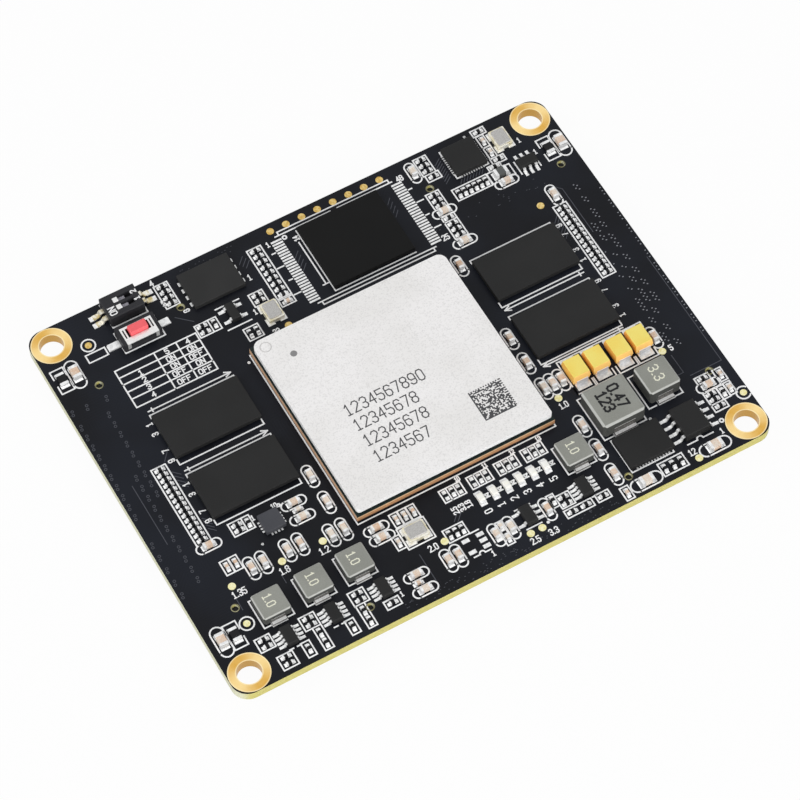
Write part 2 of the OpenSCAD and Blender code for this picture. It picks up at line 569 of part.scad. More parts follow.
// Tantalum capacitors: a block on two folded terminals that climb its end faces
module tantalum(i) color("#ffd45a") at([tantalum_places[i]]) translate([0, 0, land_t + tantalum_tab_t])
    drafted(tantalum_w, tantalum_l, tantalum_h - tantalum_tab_t, side_draft, end_draft);
module tantalum_1() tantalum(0);
module tantalum_2() tantalum(1);
module tantalum_3() tantalum(2);
module tantalum_4() tantalum(3);
module tantalum_terminals() color("#cfd0d0") at(tantalum_places) for (turn = [0, 180]) rotate(turn)
    translate([0, 0, land_t]) profile_x(tantalum_tab_w, [[tantalum_l / 2 - tantalum_fold, 0],
        [tantalum_l / 2 + tantalum_tab_t, 0],
        [tantalum_l / 2 + tantalum_tab_t, tantalum_h * 0.5], [tantalum_l / 2, tantalum_h * 0.5],
        [tantalum_l / 2, tantalum_tab_t], [tantalum_l / 2 - tantalum_fold, tantalum_tab_t]]);

module resistor_bodies() color("#1d1d1f") {
    at(resistor_places) end_body(small_resistor, 0.04);
    at(large_resistor_places) end_body(large_resistor, 0.04);
}
module capacitor_bodies() color("#c9b8a0") {
    at(small_capacitor_places) end_body(small_capacitor, 0.04);
    at(middle_capacitor_places) end_body(middle_capacitor, 0.06);
    at(large_capacitor_places) end_body(large_capacitor, 0.06);
}
module ferrite_bead() color("#5a5c5c") at(bead_places) end_body(bead, 0.06);
module chip_end_caps() color("#dcdcda") {
    at(resistor_places) end_caps(small_resistor);
    at(large_resistor_places) end_caps(large_resistor);
    at(small_capacitor_places) end_caps(small_capacitor);
    at(middle_capacitor_places) end_caps(middle_capacitor);
    at(large_capacitor_places) end_caps(large_capacitor);
    at(bead_places) end_caps(bead);
    at(led_places) end_caps(led);
}

// LEDs: a white base between two end caps, with a lens on top
module led_bases() color("#f2f0e6") at(led_places) end_body(led, 0);
module led_lenses() color("#fbf8e8") at(led_places) translate([0, 0, land_t + led[2]])
    block(led[0] * 0.65, led[1], led_h - led[2], 0.05, 0.1);

module oscillator_bases() color("#cdb673") at(oscillator_places) translate([0, 0, land_t])
    block(oscillator[0], oscillator[1], oscillator[2], 0.15, 0.02);
module oscillator_lids() color("#b9b7b4") at(oscillator_places) translate([0, 0, land_t + oscillator[2]])
    block(oscillator[0] - 0.5, oscillator[1] - 0.5, oscillator_h - oscillator[2], 0.2, 0.06);

// Slide switch
module dip_housing() color("#3a3a3c") at([dip]) difference() {
    block(dip_l, dip_w, dip_h, 0.08, 0.12);
    for (s = [-1, 1]) translate([dip_slot_x, s * dip_pitch / 2, channel_z]) {
        box(dip_slot_l, dip_slot_w, dip_h);
        box(dip_slot_l, dip_slot_w + 2 * channel_lip, channel_h);
    }
}
module dip_slider(s) color("#f4f4f2") at([dip]) translate([slider_x, s * dip_pitch / 2, channel_z + FIT]) {
    box(slider_l, dip_slot_w + 2 * channel_lip - 2 * FIT, channel_h - 2 * FIT);
    box(slider_l, dip_slot_w - 2 * FIT, channel_h + 0.2);
    translate([(knob_l - slider_l) / 2, 0, 0]) box(knob_l, dip_slot_w - 2 * FIT, dip_h - channel_z);
}
module dip_slider_1() dip_slider(-1);
module dip_slider_2() dip_slider(1);
module dip_terminals() color("#cfd0d0")
    leads(concat(dip, [for (i = [2:7]) dip_lead[i]]), dip_rows, dip_rows);

// Reset switch
module reset_base() color("#2b2b2d") at([reset]) difference() {
    block(reset_l, reset_w - 2 * cover_t, reset_base_h, 0.1, 0.02);
    translate([0, 0, well_z]) box(well[0], well[1], reset_base_h);
    cover_legs(cover_far - cover_t / 2, reset_base_h);
}
module cover_legs(y, h) for (x = [-1, 1])
    translate([x * (cover_l - cover_clip) / 2, y, reset_base_h * 0.35]) box(cover_clip, cover_t, h);
module reset_dome() color("#c9b37a") at([reset]) translate([0, 0, well_z]) rotate_extrude()
    polygon([[0, dome_h - 0.08], [0.45, dome_h - 0.12], [0.95, 0], [1, 0], [1, 0.08], [0.5, dome_h - 0.04],
        [0, dome_h]]);
module reset_cover() color("#e6e6e4") at([reset]) {
    translate([0, 0, reset_base_h]) linear_extrude(cover_t) difference() {
        translate([-cover_l / 2, -reset_w / 2]) square([cover_l, reset_w / 2 + cover_far]);
        square(window, center = true);
        for (s = [-1, 1]) translate([s * (window[0] / 2 + 0.35), 0]) square([0.2, window[1]], center = true);
    }
    for (y = [cover_far - cover_t / 2, (cover_t - reset_w) / 2]) cover_legs(y, reset_base_h * 0.65);
}
module reset_button() color("#f0555e") at([reset]) translate([0, 0, flange_z]) {
    translate([0, 0, nub_z - flange_z]) cylinder(h = flange_z - nub_z + flange_h, d = button[1] * 0.7);
    box(button[0], button[1] + 2 * button_flange, flange_h);
    block(button[0], button[1], flange_h + FIT + cover_t + button_rise, 0.12, 0.12);
}
module reset_terminals() color("#d4d6d8") at([reset]) for (s = [-1, 1])
    translate([s * (reset_l + reset_tab[0]) / 2, 0, land_t]) box(reset_tab[0], reset_tab[1], reset_tab[2]);

// Connectors: housing with feet, pegs in the board and a slot for each bank; the contacts stand along
// the slot's walls and run out under the board as solder tails
module connector_housing(i) color("#1b1b1d") translate([connectors[i][0], connectors[i][1], 0])
    rotate(connectors[i][2]) {
    difference() {
        box(connector_l, connector_w, connector_h - tail_t);
        for (s = [-1, 1]) translate([s * bank_pitch / 2, 0, 0]) {
            translate([0, 0, -EPS]) box(bank_l, slot_w, slot_d + EPS);
            for (row = [-1, 1]) translate([0, row * (slot_w - contact_t) / 2, 0])
                box(bank_l, contact_t, connector_h);
            box(blade_l, contact_t, connector_h);
        }
    }
    translate([0, 0, connector_h - tail_t]) box(foot_l, connector_w, tail_t);
    for (s = [-1, 1]) translate([s * (foot_end - end_foot_l / 2), 0, connector_h - tail_t])
        box(end_foot_l, connector_w, tail_t);
    for (s = [-1, 1]) translate([s * peg_span / 2, -peg_shift, connector_h - tail_t])
        cylinder(h = tail_t + peg_h, d = peg_d);
}
module connector_housing_1() connector_housing(0);
module connector_housing_2() connector_housing(1);
module connector_housing_3() connector_housing(2);
module connector_housing_4() connector_housing(3);
module connector_contacts() color("#d9b65c") for (c = connectors) translate([c[0], c[1], 0]) rotate(c[2])
    for (s = [-1, 1]) translate([s * bank_pitch / 2, 0, 0]) {
        for (row = [0, 180], i = [0 : contacts_per_row - 1]) rotate(row)
            translate([(i - (contacts_per_row - 1) / 2) * contact_pitch, 0, 0]) contact();
        translate([0, 0, blade_z]) box(blade_l, contact_t, connector_h - blade_z);
    }
module contact() {
    inner = slot_w / 2 - contact_t;
    outer = connector_w / 2 + tail_l;
    profile_x(contact_w, [[inner, contact_z], [slot_w / 2, contact_z], [slot_w / 2, connector_h - tail_t],
        [outer, connector_h - tail_t], [outer, connector_h], [inner, connector_h]]);
}

circuit_board();
hole_plating();
gold_pads();
solder_lands();
processor_balls();
processor_substrate();
processor_die();
processor_lid();
memory_chip_1();
memory_chip_2();
memory_chip_3();
memory_chip_4();
memory_balls();
storage_chip();
storage_balls();
boot_flash();
interface_chip();
clock_chip();
power_stage_chip();
load_switch_chip();
buck_regulators();
supervisor_chip();
linear_regulator_chip();
surge_protector_chip();
chip_leads();
choke_1();
choke_2();
choke_3();
choke_4();
core_supply_choke();
input_supply_choke();
choke_terminals();
tantalum_1();
tantalum_2();
tantalum_3();
tantalum_4();
tantalum_terminals();
resistor_bodies();
capacitor_bodies();
ferrite_bead();
chip_end_caps();
led_bases();
led_lenses();
oscillator_bases();
oscillator_lids();
dip_housing();
dip_slider_1();
dip_slider_2();
dip_terminals();
reset_base();
reset_dome();
reset_cover();
reset_button();
reset_terminals();
connector_housing_1();
connector_housing_2();
connector_housing_3();
connector_housing_4();
connector_contacts();
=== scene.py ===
# %% [markdown]
# # Dressing a system on module
# The object is a black circuit board, 83.5 by 64.75 mm, with a lidded processor, its memory chips, chokes,
# tantalum capacitors, two small switches and some two hundred tiny parts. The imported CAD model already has
# all of them at their true size, so Blender adds what a drawing in solids can't show: finishes, the white
# screen print, solder, marks and light.

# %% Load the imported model
import json
import math

import bpy
import numpy as np
from mathutils import Matrix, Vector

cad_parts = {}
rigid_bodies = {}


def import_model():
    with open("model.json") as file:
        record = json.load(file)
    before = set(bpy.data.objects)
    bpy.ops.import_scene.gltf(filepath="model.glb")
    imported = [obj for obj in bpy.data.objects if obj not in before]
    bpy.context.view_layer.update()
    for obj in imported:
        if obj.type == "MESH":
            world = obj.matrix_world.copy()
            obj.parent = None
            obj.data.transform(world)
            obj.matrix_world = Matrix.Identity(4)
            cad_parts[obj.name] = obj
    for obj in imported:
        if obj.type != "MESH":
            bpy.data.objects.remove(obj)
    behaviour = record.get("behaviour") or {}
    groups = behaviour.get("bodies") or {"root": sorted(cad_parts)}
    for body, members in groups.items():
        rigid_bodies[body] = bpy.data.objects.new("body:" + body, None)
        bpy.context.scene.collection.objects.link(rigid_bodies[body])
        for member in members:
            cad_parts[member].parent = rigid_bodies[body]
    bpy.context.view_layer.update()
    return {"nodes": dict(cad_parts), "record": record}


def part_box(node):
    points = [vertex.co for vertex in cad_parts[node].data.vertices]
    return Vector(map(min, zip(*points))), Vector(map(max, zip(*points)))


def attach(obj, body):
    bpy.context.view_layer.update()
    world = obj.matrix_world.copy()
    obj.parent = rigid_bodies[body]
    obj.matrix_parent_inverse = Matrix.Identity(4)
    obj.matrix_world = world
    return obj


for leftover in list(bpy.data.objects):
    bpy.data.objects.remove(leftover)
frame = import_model()
nodes = frame["nodes"]
MM = 0.001
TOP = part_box("circuit_board")[1].z / MM  # height of the board's top face, mm
print(len(nodes), "nodes, board's top face at", round(TOP, 2), "mm")

# %% [markdown]
# ## Camera
# The board was photographed with a long lens from its lower left, high above it. A camera is easiest to
# understand as a point on a sphere: a target on the board, a distance, an azimuth and an elevation, and
# then a small roll about the line of sight.

# %% Camera
AZIMUTH, ELEVATION, ROLL = np.radians([-27.594, 58.892, -2.034])
DISTANCE, TARGET = 494.9, np.array([-0.85, -2.65, TOP])  # mm
FOCAL, SENSOR = 161.1, 36.0  # mm
back = np.array([math.sin(AZIMUTH) * math.cos(ELEVATION), -math.cos(AZIMUTH) * math.cos(ELEVATION),
                 math.sin(ELEVATION)])
level = np.array([math.cos(AZIMUTH), math.sin(AZIMUTH), 0.0])
rise = np.cross(back, level)
right = math.cos(ROLL) * level + math.sin(ROLL) * rise
up = math.cos(ROLL) * rise - math.sin(ROLL) * level

lens = bpy.data.cameras.new("photo_camera")
lens.lens, lens.sensor_width = FOCAL, SENSOR
lens.clip_start, lens.clip_end = 0.01, 20.0
camera = bpy.data.objects.new("photo_camera", lens)
pose = np.eye(4)
pose[:3, 0], pose[:3, 1], pose[:3, 2], pose[:3, 3] = right, up, back, (TARGET + back * DISTANCE) * MM
camera.matrix_world = Matrix(pose.tolist())
bpy.context.collection.objects.link(camera)
bpy.context.scene.camera = camera
print("camera at", np.round(np.array(camera.matrix_world.translation) / MM, 1), "mm")

# %% [markdown]
# ## Shader sums
# Node trees are easier to read as arithmetic. A Wire wraps one output socket, and each operator on it adds
# one Math node. A Tree makes every other node, for the sky as well. A Finish is the tree of one material: it
# mixes colours and feeds the Principled shader.

# %% Wires and finishes
def rgb(code):
    """Linear colour of a web code: a channel c becomes ((c + 0.055) / 1.055) ** 2.4, near black c / 12.92."""
    c = np.array([int(code[i:i + 2], 16) for i in (1, 3, 5)]) / 255
    return tuple(np.where(c > 0.04045, ((c + 0.055) / 1.055) ** 2.4, c / 12.92)) + (1.0,)


class Wire:
    """One output socket that takes part in sums: each operator adds a Math node."""

    def __init__(self, tree, socket):
        self.tree, self.socket = tree, socket

    def math(self, operation, first, second=0.0):
        return self.tree.add("ShaderNodeMath", {"operation": operation}, {0: first, 1: second})

    def __add__(self, other):
        return self.math("ADD", self, other)

    def __sub__(self, other):
        return self.math("SUBTRACT", self, other)

    def __rsub__(self, other):
        return self.math("SUBTRACT", other, self)

    def __mul__(self, other):
        return self.math("MULTIPLY", self, other)

    __radd__, __rmul__ = __add__, __mul__

    def of(self, operation, second=0.0):
        """A one-sided operation, such as SINE, FLOOR or ABSOLUTE."""
        return self.math(operation, self, second)

    def band(self, low, high):
        """0 below low, 1 above high, and a smooth step between."""
        return self.tree.add("ShaderNodeMapRange", {"interpolation_type": "SMOOTHSTEP"},
                             {"Value": self, "From Min": low, "From Max": high})


class Tree:
    """The nodes of a material or of the world."""

    def __init__(self, owner):
        owner.use_nodes = True
        self.nodes, self.links = owner.node_tree.nodes, owner.node_tree.links

    def add(self, kind, settings, inputs, output=0):
        """A node of any kind: its settings first, then the values or wires of its sockets."""
        node = self.nodes.new(kind)
        for key, value in settings.items():
            setattr(node, key, value)
        for key, value in inputs.items():
            self.feed(node.inputs[key], value)
        return Wire(self, node.outputs[output])

    def feed(self, socket, value):
        """A wire is linked to the socket, and a plain value or a colour's code is set on it."""
        if isinstance(value, Wire):
            self.links.new(value.socket, socket)
        else:
            socket.default_value = rgb(value) if isinstance(value, str) else value

    def find(self, kind):
        """The node of a kind that Blender has put there."""
        return next(node for node in self.nodes if node.type == kind)

    def seen(self):
        """1 for rays that show the ground: from the camera, in a reflection or through something clear."""
        rays = self.add("ShaderNodeLightPath", {}, {}).socket.node.outputs
        kinds = "Is Camera Ray", "Is Glossy Ray", "Is Transmission Ray"
        camera, mirror, clear = (Wire(self, rays[kind]) for kind in kinds)
        return camera + mirror + clear


class Finish(Tree):
    """One material: fixed numbers go straight on the shader, and what varies is fed by wires."""

    def __init__(self, name, fixed=None):
        self.material = bpy.data.materials.new(name)
        super().__init__(self.material)
        self.shader = self.find("BSDF_PRINCIPLED")
        for socket, value in (fixed or {}).items():
            self.feed(self.shader.inputs[socket], value)
        self.spot = self.add("ShaderNodeTexCoord", {}, {}, "Object")

    def parts(self, vector):
        """The three numbers of a vector or colour."""
        first = self.add("ShaderNodeSeparateXYZ", {}, {0: vector})
        return [Wire(self, out) for out in first.socket.node.outputs]

    def facing(self):
        """How far the surface faces along x, y and z, each from 0 to 1."""
        normal = self.add("ShaderNodeNewGeometry", {}, {}, "Normal")
        return [part.of("ABSOLUTE") for part in self.parts(normal)]

    def noise(self, size, detail=2.0, stretch=(1, 1, 1)):
        """Cloudy noise whose lumps are about size mm across, stretched along an axis if wanted."""
        place = self.spot
        if stretch != (1, 1, 1):
            place = self.add("ShaderNodeVectorMath", {"operation": "MULTIPLY"}, {0: self.spot, 1: stretch})
        inputs = {"Vector": place, "Scale": 1 / (size * MM), "Detail": detail}
        return self.add("ShaderNodeTexNoise", {}, inputs)

    def mix(self, share, first, second):
        """Colour that goes from first to second as share goes from 0 to 1."""
        return self.add("ShaderNodeMix", {"data_type": "RGBA"}, {0: share, 6: first, 7: second}, 2)

    def bump(self, height, depth):
        """Normal of a relief that is depth mm deep."""
        return self.add("ShaderNodeBump", {}, {"Height": height, "Distance": depth * MM})

    def wear(self, **sockets):
        """Feed the shader: base_color=wire, roughness=wire and so on; returns the material."""
        for name, value in sockets.items():
            self.feed(self.shader.inputs[name.replace("_", " ").title()], value)
        return self.material


print("shader helpers ready")

# %% [markdown]
# ## Studio
# The photograph has a pure white ground and very even light. The floor glows white for the camera and for
# reflections, mixed with a plain matt white that still takes the shadow. The sky and three large soft lamps
# together give about the level at which a colour renders as it is written.

# %% Floor, sky and lamps
def floor_finish():
    """Matt white for light that bounces; mostly a glow of strength 1 for the camera and reflections."""
    f = Finish("studio_floor", {"Base Color": "#f0f0f0", "Roughness": 0.9, "Specular IOR Level": 0.1})
    glow = f.add("ShaderNodeEmission", {}, {"Color": (1, 1, 1, 1), "Strength": 1.0})
    matt = Wire(f, f.shader.outputs[0])
    mixed = f.add("ShaderNodeMixShader", {}, {0: f.seen() * FLOOR_GLOW, 1: matt, 2: glow})
    f.feed(f.find("OUTPUT_MATERIAL").inputs["Surface"], mixed)
    return f.material


REACH, BELOW = 3.0, -2e-5  # half the floor's side and its height, m
FLOOR_GLOW = 0.95  # the rest is left for the shadow
floor_mesh = bpy.data.meshes.new("studio_floor")
corners = [(x * REACH, y * REACH, BELOW) for x, y in ((-1, -1), (1, -1), (1, 1), (-1, 1))]
floor_mesh.from_pydata(corners, [], [(0, 1, 2, 3)])
floor_mesh.materials.append(floor_finish())
floor = bpy.data.objects.new("studio_floor", floor_mesh)
bpy.context.collection.objects.link(floor)

SKY_LIGHT, SKY_SEEN = 0.4, 1.0  # strength on the object and where it is seen
world = bpy.data.worlds.new("studio_sky")
bpy.context.scene.world = world
sky = Tree(world)
strength = sky.add("ShaderNodeMapRange", {}, {"Value": sky.seen(), "To Min": SKY_LIGHT, "To Max": SKY_SEEN})
sky.feed(sky.find("BACKGROUND").inputs["Color"], (0.98, 0.99, 1.0, 1.0))
sky.feed(sky.find("BACKGROUND").inputs["Strength"], strength)


def soft_lamp(name, toward, distance, size, share):
    """A square lamp on the line toward, as bright as share of a white sky: power = share * pi^2 * d^2."""
    data = bpy.data.lights.new(name, "AREA")
    data.size, data.energy = size, share * math.pi ** 2 * distance ** 2
    lamp = bpy.data.objects.new(name, data)
    axis = np.array(toward) / np.linalg.norm(toward)
    lamp.location = axis * distance
    lamp.rotation_euler = (math.acos(axis[2]), 0, math.atan2(axis[1], axis[0]) + math.pi / 2)
    bpy.context.collection.objects.link(lamp)


soft_lamp("key_lamp", (-0.25, -1.0, 0.8), 1.0, 0.9, 0.5)
soft_lamp("front_lamp", (-0.1, -1.0, 0.35), 1.0, 0.6, 0.2)
soft_lamp("side_lamp", (-1.0, 0.1, 0.7), 1.1, 0.8, 0.33)
bpy.context.scene.view_settings.view_transform = "Standard"
print("floor, sky and three lamps")

# %% [markdown]
# ## Board finish
# The laminate is glass cloth in resin: olive and cream where the saw cut it, in thin layers; the cut edges
# facing along x are painted paler and creamier than those facing along y, as painted light. On top lies a
# satin black mask, and copper tracks stand a hair proud under it, so it is never one flat black. Each cell of
# a Voronoi pattern gets its own track direction, one of four, as a router would choose it.

# %% Black mask over laminate
def board_finish():
    """Tracks are sin(2 pi d / pitch) of the distance d across them, and layers the same of the height."""
    f = Finish("black_solder_mask", {"Specular IOR Level": 0.16, "IOR": 1.5})
    region, pitch, layer = 6 * MM, 0.42 * MM, 0.21 * MM
    x, y, z = f.parts(f.spot)
    face_x, _, face_z = f.facing()
    cell = f.add("ShaderNodeTexVoronoi", {}, {"Vector": f.spot, "Scale": 1 / region}, "Color")
    turn = (f.parts(cell)[0] * 4).of("FLOOR") * (math.pi / 4)
    across = x * turn.of("COSINE") + y * turn.of("SINE")
    lines = (across * (2 * math.pi / pitch)).of("SINE").band(0.2, 0.9)
    tracks = lines * f.noise(9, 1).band(0.5, 0.62)
    mask = f.mix(f.noise(17, 3).band(0.35, 0.68), "#0d0e13", "#161921")
    mask = f.mix(tracks * 0.1, mask, "#262932")
    layers = (z * (2 * math.pi / layer)).of("SINE").band(-0.6, 0.9)
    # Painted light: cut edges facing along x are paler and creamier than those facing along y.
    cut = f.mix(face_x.band(0.3, 0.8), "#cbc272", "#d3d4bd")
    cut = f.mix(layers * f.noise(1.3, 3, (1, 1, 5)).band(0.35, 0.6) * 0.55, cut, "#e4dda6")
    cut = f.mix(f.noise(0.5, 2).band(0.62, 0.75) * 0.4, cut, "#9c9456")
    top = face_z.band(0.3, 0.7)
    relief = tracks * 0.2 + f.noise(0.25, 2) * 0.3
    rough = 0.82 - top * 0.38 + f.noise(4) * 0.1 - 0.05
    return f.wear(base_color=f.mix(top, cut, mask), roughness=rough, normal=f.bump(relief, 0.006))


finishes = {"solder_mask": board_finish()}
print("board finish")

# %% [markdown]
# ## Metals
# Tin is a little wavy from the reflow oven, and stamped covers carry a fine brushing along their length. One
# function makes most of them: a colour that drifts, a roughness that drifts with it, and a shallow relief of
# lumps of a given size. Three need more: the lands of the mounting holes are rubbed in circles and carry a
# painted sheen, painted highlights on their rims and painted shade in the bore, the test pads change from
# warm to lemon across the board, and the chokes' tabs have painted shade where they climb. Nodes that share
# a material with others but look different have a finish of their own.

# %% Metals
def metal_finish(name, light, dark, rough, lump, depth, metallic=1.0, stretch=(1, 1, 1)):
    """Colour between light and dark, roughness about rough, and lumps of lump mm that are depth mm deep."""
    f = Finish(name, {"Metallic": metallic})
    drift = f.noise(lump * 3, 3, stretch)
    grain = f.noise(lump, 3, stretch)
    return f.wear(base_color=f.mix(drift.band(0.35, 0.65), light, dark),
                  roughness=rough + (grain - 0.5) * 0.25, normal=f.bump(grain, depth))


holes = next(mount for mount in frame["record"]["mounts"] if mount["name"] == "corner_holes")["dims"]
HOLE = holes["spacing_x_mm"] / 2, holes["spacing_y_mm"] / 2  # middle of a hole from the board's middle
BORE_EDGE, LAND_EDGE, RUB_PITCH = 1.85, 2.85, 0.12  # mm


def plating_finish():
    """Gold lands rubbed in circles, with a painted sheen of cos(2 (angle - 20 degrees)) of the angle round
    the hole, painted highlights on the rims and painted shade on the bore's wall.
    """
    f = Finish("plated_gold", {"Metallic": 1.0})
    x, y, _ = f.parts(f.spot)
    east, north = (v - v.of("SIGN") * (c * MM) for v, c in zip((x, y), HOLE))
    # Painted sheen: the colour turns pale and deep gold in turn round each hole.
    painted_sheen = ((north.of("ARCTAN2", east) - math.radians(20)) * 2).of("COSINE") * 0.5 + 0.5
    from_axis = (east * east + north * north).of("SQRT")
    outer = from_axis.band((LAND_EDGE - 0.1) * MM, LAND_EDGE * MM)
    inner = 1 - from_axis.band(BORE_EDGE * MM, (BORE_EDGE + 0.1) * MM)
    # Painted highlight: a pale rim along the land's outer edge and round the bore.
    painted_rim_highlight = outer + inner
    rubbed = (from_axis * (2 * math.pi / (RUB_PITCH * MM)) + f.noise(0.6) * 4).of("SINE") * 0.5 + 0.5
    shade = f.mix(painted_sheen * 0.85 + f.noise(1.2).band(0.3, 0.7) * 0.15, "#dcaa4c", "#fbde9c")
    shade = f.mix(painted_rim_highlight * 0.6, shade, "#fff0c4")
    # Painted shade: faces that don't face up, such as the bore's wall, are darker gold.
    shade = f.mix(f.facing()[2].band(0.3, 0.7), "#c2964b", shade)
    return f.wear(base_color=shade, roughness=0.3 + rubbed * 0.1, normal=f.bump(rubbed, 0.002))


def pad_finish():
    """Thin flash gold: warm along the far side of the board, pale lemon along the near side."""
    f = Finish("flash_gold", {"Metallic": 0.4})
    near = 1 - f.parts(f.spot)[1].band(-20 * MM, 25 * MM)
    warm = f.mix(f.noise(0.4).band(0.4, 0.62), "#e8cb82", "#d2ab54")
    lemon = f.mix(f.noise(0.4).band(0.4, 0.62), "#fcf7cc", "#f0e79f")
    return f.wear(base_color=f.mix(near, warm, lemon), roughness=0.36 + f.noise(0.3) * 0.1)


def tab_finish():
    """Folded tin: bright where it lies flat, with painted shade where it climbs the end of a choke."""
    f = Finish("folded_tin", {"Metallic": 0.25})
    wave = f.noise(0.2, 3)
    flat = f.mix(wave.band(0.4, 0.65), "#ffffff", "#ecebe9")
    # Painted shade: the faces that climb the choke's end are dark grey.
    upright = f.mix(wave.band(0.42, 0.56), "#34322e", "#6b6862")
    shade = f.mix(f.facing()[2].band(0.3, 0.7), upright, flat)
    return f.wear(base_color=shade, roughness=0.3 + wave * 0.1, normal=f.bump(wave, 0.01))


finishes.update({
    "gold": plating_finish(),
    "contact_gold": metal_finish("contact_gold", "#e3bf6a", "#cfa850", 0.3, 0.2, 0.004),
    "tin": metal_finish("reflowed_tin", "#fcfcfb", "#e4e4e4", 0.36, 0.16, 0.01, 0.45),
    "solder": metal_finish("tinned_land", "#ffffff", "#f1f0f3", 0.5, 0.3, 0.003, 0.15),
    "cover_metal": metal_finish("stamped_cover", "#f6f6f4", "#e4e4e2", 0.32, 0.12, 0.0015, 0.6,
                                (1, 8, 8)),
    "dome_metal": metal_finish("contact_dome", "#d8c48a", "#bfa969", 0.3, 0.2, 0.003),
    "oscillator_lid": metal_finish("seam_welded_lid", "#c4c2bf", "#a5a3a0", 0.4, 0.1, 0.003, 0.7,
                                   (1, 6, 6)),
    "oscillator_gold": metal_finish("oscillator_base", "#f8f5ea", "#e6dcb8", 0.4, 0.3, 0.004, 0.3),
})
own = {
    "gold_pads": pad_finish(),
    "choke_terminals": tab_finish(),
    "tantalum_terminals": metal_finish("matt_tin", "#ffffff", "#f3f2f5", 0.5, 0.3, 0.003, 0.1),
    "dip_terminals": metal_finish("flash_gold_leads", "#fdfaee", "#cdbb86", 0.32, 0.22, 0.006, 0.6),
}
print(len(finishes) + len(own), "finishes so far")

# %% [markdown]
# ## Moulded and fired parts
# Chips, chokes and capacitors are all filled resins or ceramics: a base colour, fine grains of the filler,
# slow stains, and hardly any gloss. They differ in colour, in the size of the grain and in how far one part
# differs from its neighbour, which a slow noise over the board gives. Pressed powder, moulded tantalums and
# the sliders also carry painted light and shade, by the way a face points or by height, so each has its own
# function.

# %% Resins and ceramics
def filled_finish(name, light, dark, rough, grain, depth, fixed=None, neighbours=6.0):
    """Grains of grain mm between two colours, slow drift over neighbours mm, relief of depth mm."""
    f = Finish(name, {"Specular IOR Level": 0.2, **(fixed or {})})
    speck = f.noise(grain, 3)
    drift = f.noise(neighbours, 1)
    share = drift.band(0.3, 0.7) * 0.6 + speck.band(0.35, 0.7) * 0.4
    return f.wear(base_color=f.mix(share, light, dark), roughness=rough + (speck - 0.5) * 0.2,
                  normal=f.bump(speck, depth))


def choke_finish():
    """Pressed iron powder: grey on top, with a pale painted highlight on the chamfers and dark painted shade
    on the sides.
    """
    f = Finish("pressed_iron_powder", {"Specular IOR Level": 0.25})
    speck, up = f.noise(0.12, 3), f.facing()[2]
    stain = speck.band(0.35, 0.7) * 0.5 + f.noise(5, 1).band(0.35, 0.65) * 0.5
    top = f.mix(stain, "#9b9c95", "#8d8e87")
    # Painted shade: the sides are dark grey.
    side = f.mix(speck.band(0.35, 0.7), "#50514e", "#3f403d")
    # Painted highlight: the chamfers between the sides and the top are pale.
    painted_chamfer_highlight = up.band(0.3, 0.55) * (1 - up.band(0.86, 0.97))
    shade = f.mix(painted_chamfer_highlight, f.mix(up.band(0.4, 0.7), side, top), "#bcbdb8")
    return f.wear(base_color=shade, roughness=0.5 + (speck - 0.5) * 0.2, normal=f.bump(speck, 0.008))


def tantalum_finish():
    """Moulded yellow resin: lemon on top; painted shade makes the long sides orange and the ends peach, and
    the ends glow a little as painted light.
    """
    f = Finish("tantalum_resin", {"Specular IOR Level": 0.25, "Emission Strength": 0.3})
    speck = f.noise(0.15, 3)
    _, side_y, up = f.facing()
    stain = speck.band(0.35, 0.7) * 0.4 + f.noise(3, 1).band(0.3, 0.7) * 0.6
    top = f.mix(stain, "#ffee82", "#ffdf68")
    end = side_y.band(0.3, 0.7)
    # Painted shade: faces along x are orange and faces along y peach, darker than the top.
    side = f.mix(end, "#ffc45c", "#ffd47c")
    # Painted light: the ends facing along y glow peach, though the resin is no lamp.
    glow = f.mix(end, "#000000", "#ffb860")
    return f.wear(base_color=f.mix(up.band(0.5, 0.9), side, top), roughness=0.5 + (speck - 0.5) * 0.2,
                  emission_color=glow, normal=f.bump(speck, 0.004))


def slider_finish():
    """White plastic; the low part of a slider lies deep in its slot and is painted grey as shade."""
    f = Finish("slider_plastic", {"Specular IOR Level": 0.3})
    low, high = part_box("dip_slider_1")
    height = (f.parts(f.spot)[2] - low.z) * (1 / (high.z - low.z))
    grain = f.noise(0.2, 2)
    white = f.mix(grain.band(0.4, 0.6), "#fbfbfa", "#f0f0ee")
    # Painted shade: below about 60 % of the slider's height, deep in the slot, it is grey.
    shade = f.mix(height.band(0.55, 0.65), "#b7b5be", white)
    return f.wear(base_color=shade, roughness=0.38 + grain * 0.1)


